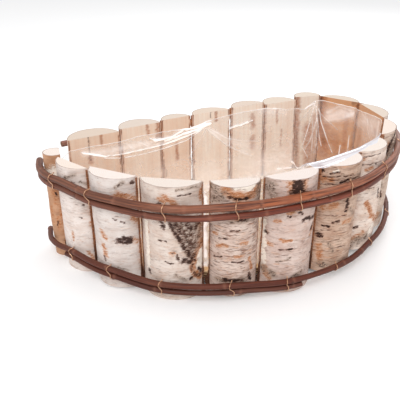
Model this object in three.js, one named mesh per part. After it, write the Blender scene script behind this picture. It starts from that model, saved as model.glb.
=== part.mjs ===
// Half-round planter of split birch logs: eighteen upright staves round a base board,
// bound inside bent willow rods with twisted wire, and lined with a clear film bag.
// Millimetres, +Z up, straight back towards +Y, curved front towards -Y, floor at zero.
import * as THREE from 'three';

// Ring of staves, measured on their flat inner faces at floor level.
const innerWidth = 392.4;
const innerDepth = 204.4;

// The two halves of the ring differ a little. The back, corner and widest shares are of
// innerWidth, the drop share is of innerDepth, and the side and front shares say how full
// the front is.
const halfShares = {
  right: {
    backShare: 0.459, cornerShare: 0.086, widestShare: 0.495, dropShare: 0.281,
    sideShare: 0.58, frontShare: 0.53,
  },
  left: {
    backShare: 0.466, cornerShare: 0.012, widestShare: 0.505, dropShare: 0.261,
    sideShare: 0.01, frontShare: 0.81,
  },
};
const sideEaseShare = 0.33;

// Staves: nominal length, lean from floor to that length, and depth of a half log.
const staveLength = 126.5;
const staveLean = 3;
const staveDepth = 20;
const clearance = 0.3;

// Base board inside the ring, and how far its underside stands off the floor.
const boardLift = 14.5;
const boardThickness = 7.5;

// Willow rods: diameters, height of the upper rod of each pair, gap in a pair.
const topRodDiameter = 8.2;
const topLowerRodDiameter = 6.8;
const footRodDiameter = 6.3;
const footLowerRodDiameter = 5.8;
const backRodDiameter = 7.6;
const topRodDrop = 20.5;
const topRodHeight = staveLength - topRodDrop;
const footRodHeight = 20.5;
const rodPairGap = 0.9;

// Binding wire: diameter, sideways step between the rods of a pair, spread of its legs.
const wireDiameter = 1;
const wireStep = 5;
const wireReach = 2.6;

// Film bag: modelled wall, space to the wood, and drop of its edge below the staves.
const filmWall = 0.6;
const filmSpace = 0.5;
const filmDrop = 15.5;

// One row a stave, from the left end of the straight back, clockwise seen from above.
// widthShare and gapShare are parts of the way round, with a gap below zero where a log
// reaches behind the one before it, thick is a share of staveDepth, foot and top are
// shares of staveLength, topTie and footTie are places across the stave, and topRise and
// footRise lift the rods there, as shares of staveLength.
const staveShares = [
  {
    widthShare: 63.1, gapShare: 1.4, thick: 1.39, foot: 0.02, top: 0.957,
    topTie: 0, footTie: 0.1, topRise: 0, footRise: 0,
  },
  {
    widthShare: 52.9, gapShare: 1.4, thick: 1.36, foot: 0, top: 0.978,
    topTie: -0.1, footTie: 0, topRise: 0, footRise: 0,
  },
  {
    widthShare: 40, gapShare: 3.3, thick: 0.81, foot: 0.03, top: 1.0,
    topTie: 0, footTie: 0, topRise: 0, footRise: 0,
  },
  {
    widthShare: 54.7, gapShare: 3.3, thick: 1.02, foot: 0.01, top: 0.998,
    topTie: 0.1, footTie: -0.1, topRise: 0, footRise: 0,
  },
  {
    widthShare: 51, gapShare: 2.9, thick: 0.97, foot: 0, top: 1.008,
    topTie: 0, footTie: 0, topRise: 0, footRise: 0,
  },
  {
    widthShare: 50.6, gapShare: 0.8, thick: 1.27, foot: 0.02, top: 0.98,
    topTie: -0.1, footTie: 0.1, topRise: 0, footRise: 0,
  },
  {
    widthShare: 35.8, gapShare: -3.8, thick: 1.06, foot: 0, top: 1.0,
    topTie: 0, footTie: 0, topRise: 0, footRise: 0,
  },
  {
    widthShare: 55.5, gapShare: 3.9, thick: 0.96, foot: 0.02, top: 0.985,
    topTie: 0.15, footTie: 0, topRise: 0, footRise: 0,
  },
  {
    widthShare: 66.7, gapShare: 7.3, thick: 0.95, foot: 0.05, top: 1.005,
    topTie: 0, footTie: -0.1, topRise: 0.01, footRise: 0,
  },
  {
    widthShare: 62, gapShare: 2.9, thick: 0.78, foot: 0.06, top: 1.028,
    topTie: -0.05, footTie: 0.06, topRise: 0.02, footRise: -0.01,
  },
  {
    widthShare: 56.9, gapShare: 3.1, thick: 0.88, foot: 0.06, top: 1.012,
    topTie: 0.18, footTie: 0.24, topRise: 0.025, footRise: -0.02,
  },
  {
    widthShare: 58.2, gapShare: 1.6, thick: 1.1, foot: 0.05, top: 1.02,
    topTie: 0.18, footTie: 0.26, topRise: 0.036, footRise: -0.035,
  },
  {
    widthShare: 61.3, gapShare: 1.6, thick: 1.12, foot: 0, top: 1.008,
    topTie: 0.085, footTie: 0.165, topRise: 0.042, footRise: -0.03,
  },
  {
    widthShare: 49.5, gapShare: 4.3, thick: 1.03, foot: 0.035, top: 0.998,
    topTie: 0.06, footTie: 0.1, topRise: 0.024, footRise: 0,
  },
  {
    widthShare: 62.2, gapShare: 1.4, thick: 1.06, foot: 0, top: 0.998,
    topTie: 0.01, footTie: 0.11, topRise: 0, footRise: 0,
  },
  {
    widthShare: 56, gapShare: 2.1, thick: 0.97, foot: 0.012, top: 0.995,
    topTie: 0.22, footTie: -0.05, topRise: 0.008, footRise: 0.04,
  },
  {
    widthShare: 49.4, gapShare: 2.7, thick: 0.72, foot: 0, top: 0.968,
    topTie: 0.17, footTie: -0.12, topRise: 0.018, footRise: 0.045,
  },
  {
    widthShare: 21.8, gapShare: 24.4, thick: 0.92, foot: 0, top: 0.968,
    topTie: null, footTie: null, topRise: 0, footRise: 0.005,
  },
];
const backCount = 7;
const firstStartShare = -0.0008;

// Shape settings of the staves, rods, wires and film, as shares of what they belong to.
const swellShares = [1, 1.03, 1.02, 1];
const mostSwell = Math.max(...swellShares);
const ringHeightShares = [0, 0.36, 0.66, 1];
const frontSpanShares = [0.352, 0.984];
const footLowerSpanShares = [0.69, 0.932];
const backSpanShares = [0, 0.352];
const wireArcShares = [0.46, 0.31, 0.15, 0, -0.12, -0.19];
const filmSagShare = 0.018;
const filmRiseShare = 0.1;
const filmRiseCentreShare = 0.66;
const filmRiseSpanShare = 0.06;

// Facet counts.
const arcSteps = 10;
const outlineSteps = 72;
const rodSides = 8;
const frontRodSteps = 72;
const backRodSteps = 18;
const wireSides = 5;
const wireSteps = 22;

// A finish is a plain material: colour, roughness and metalness.
function finish(color, roughness, metalness) {
  return new THREE.MeshStandardMaterial({ color, roughness, metalness });
}

const birch = finish(0xe4d8cb, 0.8, 0);
const willow = finish(0x7d5244, 0.7, 0);
const copperWire = finish(0xb08468, 0.4, 0.9);
const plywood = finish(0xc9a981, 0.75, 0);
const clearFilm = finish(0xeeeeec, 0.2, 0);

// Joins closed rings of points, lowest first, and closes both ends with a fan.
function loft(rings) {
  const count = rings[0].length;
  const points = rings.flat();
  const faces = [];
  for (let level = 0; level + 1 < rings.length; level += 1) {
    for (let i = 0; i < count; i += 1) {
      const a = level * count + i;
      const b = level * count + ((i + 1) % count);
      faces.push(a, b, b + count, a, b + count, a + count);
    }
  }
  [rings[0], rings[rings.length - 1]].forEach((ring, end) => {
    const start = end * (rings.length - 1) * count;
    const hub = points.length;
    const middle = new THREE.Vector3();
    ring.forEach((point) => middle.add(point));
    points.push(middle.divideScalar(count));
    for (let i = 0; i < count; i += 1) {
      const a = start + i;
      const b = start + ((i + 1) % count);
      faces.push(...(end === 0 ? [hub, b, a] : [hub, a, b]));
    }
  });
  const geometry = new THREE.BufferGeometry().setFromPoints(points);
  geometry.setIndex(faces);
  geometry.computeVertexNormals();
  return geometry;
}

// Half of the plan: from the back corner out to the widest place, which is a side that
// slopes out, and from there round to the middle of the front.
function halfOutline(shares) {
  const end = innerWidth * shares.backShare;
  const round = innerWidth * shares.cornerShare;
  const half = innerWidth * shares.widestShare;
  const drop = innerDepth * shares.dropShare;
  const slope = new THREE.Vector2(half - end, -drop / 2).normalize();
  const start = new THREE.Vector2(end, 0).addScaledVector(slope, round);
  return {
    end,
    half,
    drop,
    start,
    backStart: end - round,
    lead: start.clone().addScaledVector(slope, drop * sideEaseShare),
    ease: drop * (1 - sideEaseShare),
    turn: drop + (innerDepth - drop) * shares.sideShare,
    reach: half * shares.frontShare,
  };
}

const right = halfOutline(halfShares.right);
const left = halfOutline(halfShares.left);

// The ring's plan: straight back, two rounded corners and a full half-round front.
function planOutline() {
  const path = new THREE.Path();
  path.moveTo(-left.backStart, 0);
  path.lineTo(right.backStart, 0);
  path.quadraticCurveTo(right.end, 0, right.start.x, right.start.y);
  path.bezierCurveTo(right.lead.x, right.lead.y,
    right.half, -right.ease, right.half, -right.drop);
  path.bezierCurveTo(right.half, -right.turn, right.reach, -innerDepth, 0, -innerDepth);
  path.bezierCurveTo(-left.reach, -innerDepth, -left.half, -left.turn,
    -left.half, -left.drop);
  path.bezierCurveTo(-left.half, -left.ease, -left.lead.x, left.lead.y,
    -left.start.x, left.start.y);
  path.quadraticCurveTo(-left.end, 0, -left.backStart, 0);
  return path;
}

const outline = planOutline();
const perimeter = outline.getLength();

// A frame on the outline at a share of the way round: point, direction and outward way.
function frameAt(share) {
  const turn = share - Math.floor(share);
  const point = outline.getPointAt(turn);
  const along = outline.getTangentAt(turn);
  return {
    point: new THREE.Vector3(point.x, point.y, 0),
    along: new THREE.Vector3(along.x, along.y, 0),
    outward: new THREE.Vector3(-along.y, along.x, 0),
  };
}

// How far the leaning staves stand out at a height.
function leanAt(height) {
  return staveLean * height / staveLength;
}

// A point out from the outline, at a height, carried by the lean.
function pointAt(share, outwardDistance, height) {
  const { point, outward } = frameAt(share);
  return point.addScaledVector(outward, outwardDistance + leanAt(height)).setZ(height);
}

// Places and sizes of the staves, from their shares of the way round.
function layOutStaves() {
  const total = staveShares.reduce((sum, row) => sum + row.widthShare + row.gapShare, 0);
  let travelled = firstStartShare * total;
  return staveShares.map((row) => {
    const place = (travelled + row.widthShare / 2) / total;
    travelled += row.widthShare + row.gapShare;
    const width = perimeter * row.widthShare / total;
    const depth = staveDepth * row.thick;
    const radius = (width * width / 4 + depth * depth) / (2 * depth);
    return {
      ...row,
      place,
      width,
      depth,
      radius,
      foot: staveLength * row.foot,
      top: staveLength * row.top,
      frame: frameAt(place),
    };
  });
}

const staves = layOutStaves();
const backDepth = Math.max(...staves.slice(0, backCount).map((stave) => stave.depth));

// Half-log section: a round bark side on a flat sawn face that touches the outline.
function staveRing(stave, height, swell) {
  const { width, depth, radius, frame } = stave;
  const halfAngle = Math.atan2(width / 2, radius - depth);
  const ring = [];
  for (let i = 0; i <= arcSteps; i += 1) {
    const angle = halfAngle * (1 - 2 * i / arcSteps);
    const across = radius * Math.sin(angle);
    const out = (depth - radius + radius * Math.cos(angle)) * swell;
    ring.push(frame.point.clone()
      .addScaledVector(frame.along, across)
      .addScaledVector(frame.outward, out + leanAt(height))
      .setZ(height));
  }
  return ring;
}

function staveGeometry(stave) {
  const rings = ringHeightShares.map((share, level) => staveRing(
    stave,
    stave.foot + (stave.top - stave.foot) * share,
    swellShares[level],
  ));
  return loft(rings);
}

// A stave's value at any share of the way round, eased from one stave to the next.
function easedValue(share, key) {
  const count = staves.length;
  for (let i = 0; i < count; i += 1) {
    const here = staves[i];
    const next = staves[(i + 1) % count];
    const span = (next.place - here.place + 1) % 1;
    const way = (share - here.place + 1) % 1;
    if (way <= span) {
      const ease = way / span;
      const blend = ease * ease * (3 - 2 * ease);
      return here[key] + (next[key] - here[key]) * blend;
    }
  }
  return staves[0][key];
}

// A rod's centre and outward way. A front rod bends over every crown of the bark, keeps
// its distance past its last log and rises and falls a little on its way. A back rod is
// straight, on the thickest logs.
function rodFrame(rod, share) {
  const height = rod.height + staveLength * easedValue(share, rod.rise);
  if (rod.straight) {
    const out = backDepth * mostSwell + clearance + rod.radius + leanAt(height);
    const centre = new THREE.Vector3(share * perimeter - left.backStart, out, height);
    return { centre, outward: new THREE.Vector3(0, 1, 0) };
  }
  const first = staves[backCount].place;
  const last = staves[staves.length - 1].place;
  const held = THREE.MathUtils.clamp(share, first, last);
  const crown = easedValue(held, 'depth') * mostSwell;
  const centre = pointAt(share, crown + clearance + rod.radius, height);
  return { centre, outward: frameAt(share).outward };
}

function roundShape(radius, sides) {
  const points = [];
  for (let i = 0; i < sides; i += 1) {
    const angle = 2 * Math.PI * i / sides;
    points.push(new THREE.Vector2(radius * Math.cos(angle), radius * Math.sin(angle)));
  }
  return new THREE.Shape(points);
}

// A round bar swept along points, with flat ends.
function bar(points, radius, sides, steps) {
  return new THREE.ExtrudeGeometry(roundShape(radius, sides), {
    steps,
    bevelEnabled: false,
    extrudePath: new THREE.CatmullRomCurve3(points),
  });
}

function rodGeometry(rod) {
  const points = [];
  for (let i = 0; i <= rod.steps; i += 1) {
    const share = rod.from + (rod.to - rod.from) * i / rod.steps;
    points.push(rodFrame(rod, share).centre);
  }
  return bar(points, rod.radius, rodSides, rod.steps);
}

const topLowerHeight = topRodHeight - (topRodDiameter + topLowerRodDiameter) / 2 - rodPairGap;
const footLowerHeight = footRodHeight - (footRodDiameter + footLowerRodDiameter) / 2
  - rodPairGap;

function frontRod(diameter, height, rise, [from, to] = frontSpanShares) {
  const radius = diameter / 2;
  const whole = frontSpanShares[1] - frontSpanShares[0];
  const steps = Math.round(frontRodSteps * (to - from) / whole);
  return { from, to, steps, radius, height, rise, straight: false };
}

function backRod(height, rise) {
  const radius = backRodDiameter / 2;
  const [from, to] = backSpanShares;
  return { from, to, steps: backRodSteps, radius, height, rise, straight: true };
}

const rods = {
  rod_top_front_upper: frontRod(topRodDiameter, topRodHeight, 'topRise'),
  rod_top_front_lower: frontRod(topLowerRodDiameter, topLowerHeight, 'topRise'),
  rod_foot_front_upper: frontRod(footRodDiameter, footRodHeight, 'footRise'),
  rod_foot_front_lower: frontRod(
    footLowerRodDiameter,
    footLowerHeight,
    'footRise',
    footLowerSpanShares,
  ),
  rod_top_back: backRod(topRodHeight, 'topRise'),
  rod_foot_back: backRod(footRodHeight, 'footRise'),
};

// A point on the bark of a stave, a wire's radius and the clearance above it.
function barkPoint(stave, share, height) {
  const { point, along, outward } = stave.frame;
  const across = frameAt(share).point.sub(point).dot(along);
  const rise = Math.sqrt(Math.max(stave.radius ** 2 - across ** 2, 0));
  const out = (stave.depth - stave.radius + rise) * mostSwell;
  return point.clone()
    .addScaledVector(along, across)
    .addScaledVector(outward, out + leanAt(height) + clearance + wireDiameter / 2)
    .setZ(height);
}

// Binding wire: from the bark above, over the front of each rod, to the bark below.
function tieGeometry(stave, across, nearRods) {
  const centreShare = stave.place + across * stave.width / perimeter;
  const tiedRods = nearRods.filter((rod) => centreShare > rod.from && centreShare < rod.to);
  const hold = clearance + wireDiameter / 2;
  const shift = wireStep / perimeter / 2;
  const last = tiedRods.length - 1;
  const points = [];
  tiedRods.forEach((tied, index) => {
    const side = last === 0 ? 0 : index * 2 - 1;
    const share = centreShare - side * shift;
    const { centre, outward } = rodFrame(tied, share);
    const angles = wireArcShares.map((value) => (index === 0 ? value : -value));
    if (index > 0) angles.reverse();
    if (last === 0) angles.push(-wireArcShares[0]);
    if (index === 0) {
      points.push(barkPoint(stave, share, centre.z + tied.radius + wireReach));
    }
    angles.forEach((value) => {
      const angle = value * Math.PI;
      points.push(centre.clone()
        .addScaledVector(outward, (tied.radius + hold) * Math.cos(angle))
        .setZ(centre.z + (tied.radius + hold) * Math.sin(angle)));
    });
    if (index === last) {
      points.push(barkPoint(stave, share, centre.z - tied.radius - wireReach));
    }
  });
  return bar(points, wireDiameter / 2, wireSides, wireSteps);
}

// A closed ring of points that follows the outline at a distance and a height.
function outlineRing(outwardDistance, heightAt) {
  const ring = [];
  for (let i = 0; i < outlineSteps; i += 1) {
    const share = 1 - i / outlineSteps;
    ring.push(pointAt(share, outwardDistance, heightAt(share)));
  }
  return ring;
}

function boardGeometry() {
  const edge = leanAt(boardLift) - clearance;
  return loft([boardLift, boardLift + boardThickness].map((height) => outlineRing(
    edge - leanAt(height),
    () => height,
  )));
}

// Height of the film's edge: sagging between its gathers, drawn up over the front right.
function filmEdge(share) {
  const sag = filmSagShare * staveLength * Math.sin(2 * Math.PI * share * backCount) ** 2;
  const near = (share - filmRiseCentreShare) / filmRiseSpanShare;
  const rise = filmRiseShare * staveLength * Math.exp(-near * near);
  return staveLength - filmDrop - sag + rise;
}

function filmGeometry() {
  const base = boardLift + boardThickness + clearance;
  const outer = -filmSpace;
  const inner = outer - filmWall;
  const middle = (share) => (base + filmEdge(share)) / 2;
  return loft([
    outlineRing(outer, () => base),
    outlineRing(outer, middle),
    outlineRing(outer, filmEdge),
    outlineRing(inner, filmEdge),
    outlineRing(inner, middle),
    outlineRing(inner, () => base + filmWall),
  ]);
}

// Assembly.
const planter = new THREE.Group();

function add(name, geometry, material) {
  const mesh = new THREE.Mesh(geometry, material);
  mesh.name = name;
  planter.add(mesh);
}

const topPair = [rods.rod_top_front_upper, rods.rod_top_front_lower];
const footPair = [rods.rod_foot_front_upper, rods.rod_foot_front_lower];

add('base_board', boardGeometry(), plywood);
add('film_liner', filmGeometry(), clearFilm);
Object.entries(rods).forEach(([name, shape]) => add(name, rodGeometry(shape), willow));
staves.forEach((stave, index) => {
  const number = String(index + 1).padStart(2, '0');
  const atBack = index < backCount;
  const topRods = atBack ? [rods.rod_top_back] : topPair;
  const footRods = atBack ? [rods.rod_foot_back] : footPair;
  add(`stave_${number}`, staveGeometry(stave), birch);
  if (stave.topTie !== null) {
    add(`tie_top_${number}`, tieGeometry(stave, stave.topTie, topRods), copperWire);
  }
  if (stave.footTie !== null) {
    add(`tie_foot_${number}`, tieGeometry(stave, stave.footTie, footRods), copperWire);
  }
});

// The origin is the middle of the footprint, on the floor.
const box = new THREE.Box3().setFromObject(planter);
const middle = box.getCenter(new THREE.Vector3());
planter.position.set(-middle.x, -middle.y, -box.min.z);
planter.updateMatrixWorld(true);

export default planter;
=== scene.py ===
"""Half-round planter of split birch logs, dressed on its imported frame.

Metres, +Z up, the straight back towards +Y and the round front towards -Y.
"""
import math
from types import SimpleNamespace

import bpy
import numpy as np
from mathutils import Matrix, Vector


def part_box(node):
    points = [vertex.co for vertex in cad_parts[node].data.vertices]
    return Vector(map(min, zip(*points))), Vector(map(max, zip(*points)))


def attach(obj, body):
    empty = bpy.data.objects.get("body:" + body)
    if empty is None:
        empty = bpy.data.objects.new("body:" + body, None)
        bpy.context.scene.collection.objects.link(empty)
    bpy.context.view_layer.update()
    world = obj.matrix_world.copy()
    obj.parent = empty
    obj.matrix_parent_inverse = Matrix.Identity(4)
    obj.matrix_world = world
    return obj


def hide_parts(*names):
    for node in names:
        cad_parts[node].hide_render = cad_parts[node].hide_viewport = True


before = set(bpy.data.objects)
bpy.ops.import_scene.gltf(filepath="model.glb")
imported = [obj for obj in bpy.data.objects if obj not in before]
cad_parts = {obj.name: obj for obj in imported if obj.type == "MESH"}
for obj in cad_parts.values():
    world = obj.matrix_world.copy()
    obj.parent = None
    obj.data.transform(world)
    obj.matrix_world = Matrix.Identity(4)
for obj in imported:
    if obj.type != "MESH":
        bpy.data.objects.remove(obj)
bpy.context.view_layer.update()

# Camera. It stands left of the round front and looks down into the planter, through a
# slightly long lens. The focal length is in pixels of a picture this many pixels wide.
picture_width = 400
focal_length = 591.9
camera_place = (-0.3617, -0.5275, 0.3488)
camera_azimuth = math.radians(-29.33)
camera_elevation = math.radians(25.43)


def placed(name, data):
    """An object that shows some data, linked into the scene."""
    made = bpy.data.objects.new(name, data)
    bpy.context.collection.objects.link(made)
    return made


lens = bpy.data.cameras.new("camera")
lens.lens = focal_length / picture_width * lens.sensor_width
camera = placed("camera", lens)
camera.location = camera_place
camera.rotation_euler = (math.pi / 2 - camera_elevation, 0, camera_azimuth)
bpy.context.scene.camera = camera
bpy.context.scene.view_settings.view_transform = "Standard"

# Floor and light. The planter stands on a white studio sweep, under a wide even sky, a
# large soft lamp above the camera's left shoulder and a small one behind on the right.
WHITE = (1, 1, 1, 1)
sky_level = 0.78
floor_white = (0.93, 0.93, 0.935, 1)
floor_roughness = 0.9
floor_lift = 0.12
floor_size = 12.0
key_place = (-1.1, -1.3, 1.7)
key_power = 24.0
key_size = 1.1
rim_place = (1.2, 0.9, 1.1)
rim_power = 7.0
rim_size = 0.5


def linear(code):
    """A colour such as 0xE4D8CB as linear light, by the curve that screens use, and opaque."""
    parts = np.array([code >> 16 & 255, code >> 8 & 255, code & 255]) / 255
    light = np.where(parts > 0.04045, ((parts + 0.055) / 1.055) ** 2.4, parts / 12.92)
    return (*light.tolist(), 1.0)


def node(tree, kind, inputs, **settings):
    """Adds a shader node. An input is a socket to link from, or a value to set."""
    made = tree.nodes.new("ShaderNode" + kind)
    for key, value in settings.items():
        setattr(made, key, value)
    for key, value in inputs.items():
        if isinstance(value, bpy.types.NodeSocket):
            tree.links.new(value, made.inputs[key])
        else:
            made.inputs[key].default_value = value
    return made


def maths(tree, operation, first, second, clamp=False):
    """The number that a Math node makes of two."""
    inputs = {0: first, 1: second}
    return node(tree, "Math", inputs, operation=operation, use_clamp=clamp).outputs[0]


def times(tree, first, second, clamp=False):
    """The product of two numbers."""
    return maths(tree, "MULTIPLY", first, second, clamp)


def plus(tree, first, second, clamp=False):
    """The sum of two numbers."""
    return maths(tree, "ADD", first, second, clamp)


def minus(tree, first, second):
    """The first number less the second."""
    return maths(tree, "SUBTRACT", first, second)


def seen_directly(tree):
    """1 for rays from the camera, in mirrors and through clear film, and 0 for light."""
    path = node(tree, "LightPath", {}).outputs
    pair = maths(tree, "MAXIMUM", path["Is Camera Ray"], path["Is Glossy Ray"])
    return maths(tree, "MAXIMUM", pair, path["Is Transmission Ray"])


def blank_material(name):
    """A material with an empty node tree, and that tree."""
    material = bpy.data.materials.new(name)
    material.use_nodes = True
    material.node_tree.nodes.clear()
    return material, material.node_tree


def principled(tree, inputs):
    """Makes one Principled surface with these inputs the whole look of a material."""
    shader = node(tree, "BsdfPrincipled", inputs)
    node(tree, "OutputMaterial", {"Surface": shader.outputs[0]})


def soft_lamp(name, place, power, size):
    """A square lamp at a place, turned to the middle of the floor."""
    lamp = bpy.data.lights.new(name, "AREA")
    lamp.energy = power
    lamp.size = size
    holder = placed(name, lamp)
    holder.location = place
    holder.rotation_euler = (-holder.location).to_track_quat("-Z", "Y").to_euler()


sky = bpy.data.worlds.new("sky")
sky.use_nodes = True
sky_tree = sky.node_tree
sky_tree.nodes.clear()
sky_seen = times(sky_tree, seen_directly(sky_tree), 1 - sky_level)
sky_strength = plus(sky_tree, sky_seen, sky_level)
sky_light = node(sky_tree, "Background", {"Color": WHITE, "Strength": sky_strength})
node(sky_tree, "OutputWorld", {"Surface": sky_light.outputs[0]})
bpy.context.scene.world = sky

soft_lamp("key_lamp", key_place, key_power, key_size)
soft_lamp("rim_lamp", rim_place, rim_power, rim_size)

floor_material, floor_tree = blank_material("studio_floor")
principled(floor_tree, {
    "Base Color": floor_white,
    "Roughness": floor_roughness,
    "Specular IOR Level": 0.0,
    "Emission Color": WHITE,
    "Emission Strength": times(floor_tree, seen_directly(floor_tree), floor_lift),
})
half_floor = floor_size / 2
floor_corners = [(-half_floor, -half_floor, 0), (half_floor, -half_floor, 0),
                 (half_floor, half_floor, 0), (-half_floor, half_floor, 0)]
floor_mesh = bpy.data.meshes.new("studio_floor")
floor_mesh.from_pydata(floor_corners, [], [(0, 1, 2, 3)])
floor_mesh.materials.append(floor_material)
floor = placed("studio_floor", floor_mesh)

# Logs. Eighteen short birch logs, sawn lengthwise in two and stood side by side with
# the flat sawn face inwards and the papery white bark outwards. Each is its own length
# and thickness, and the binding rods alone hold it. A log's place comes from its node.
mm = 0.001
log_cell = 0.9 * mm
face_cell = 1.3 * mm
hub_share = 0.42
rim_shares = np.array([0.008, 0.025, 0.045, 0.07, 0.11, 0.18, 0.3, 0.48, 0.7, 0.9])
swell_heights = (0, 0.36, 0.66, 1)
swell_sizes = (1, 1.022, 1.012, 1)
cut_tilt = 0.016
cut_drop = 0.4 * mm
corner_nick = 0.5 * mm
corner_width = 2 * mm
bark_fade = 4 * mm
rind_depth, rind_blur, strip_blur = 1.1 * mm, 0.4 * mm, 0.5 * mm
strip_width, strip_ragged, speckled_share = 1.9, 1.3, 0.75
# Painted shade: over this width towards each edge of a log, where one log meets the next, the bark
# is painted darker and warmer, at most this strongly.
edge_shade_width, edge_shade_limit = 9 * mm, 0.8
sharp_from = math.radians(48)
DARK, RUST_AND_SHADE, BARE, MOSS = range(4)
# Relief of the bark and of the sawn face in millimetres: how far slow and fine swellings
# stand out, how deep a mark of each kind sinks, and how proud the bark may be at most.
slow_swelling, fine_swelling, saw_marks = 0.55, 0.16, 0.09
knot_sink, rust_sink, bare_sink = 0.75, 0.3, 0.45
most_proud = 0.5
# How noise bends the line of a mark, in millimetres, frays it, and makes it faint, and
# how wide its blurred edge is, as a share of its half width.
mark_bends, mark_fray = (1.5, 1.0), 0.55
mark_strength, mark_faint, mark_blur = 0.86, 0.5, 1.4

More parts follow.
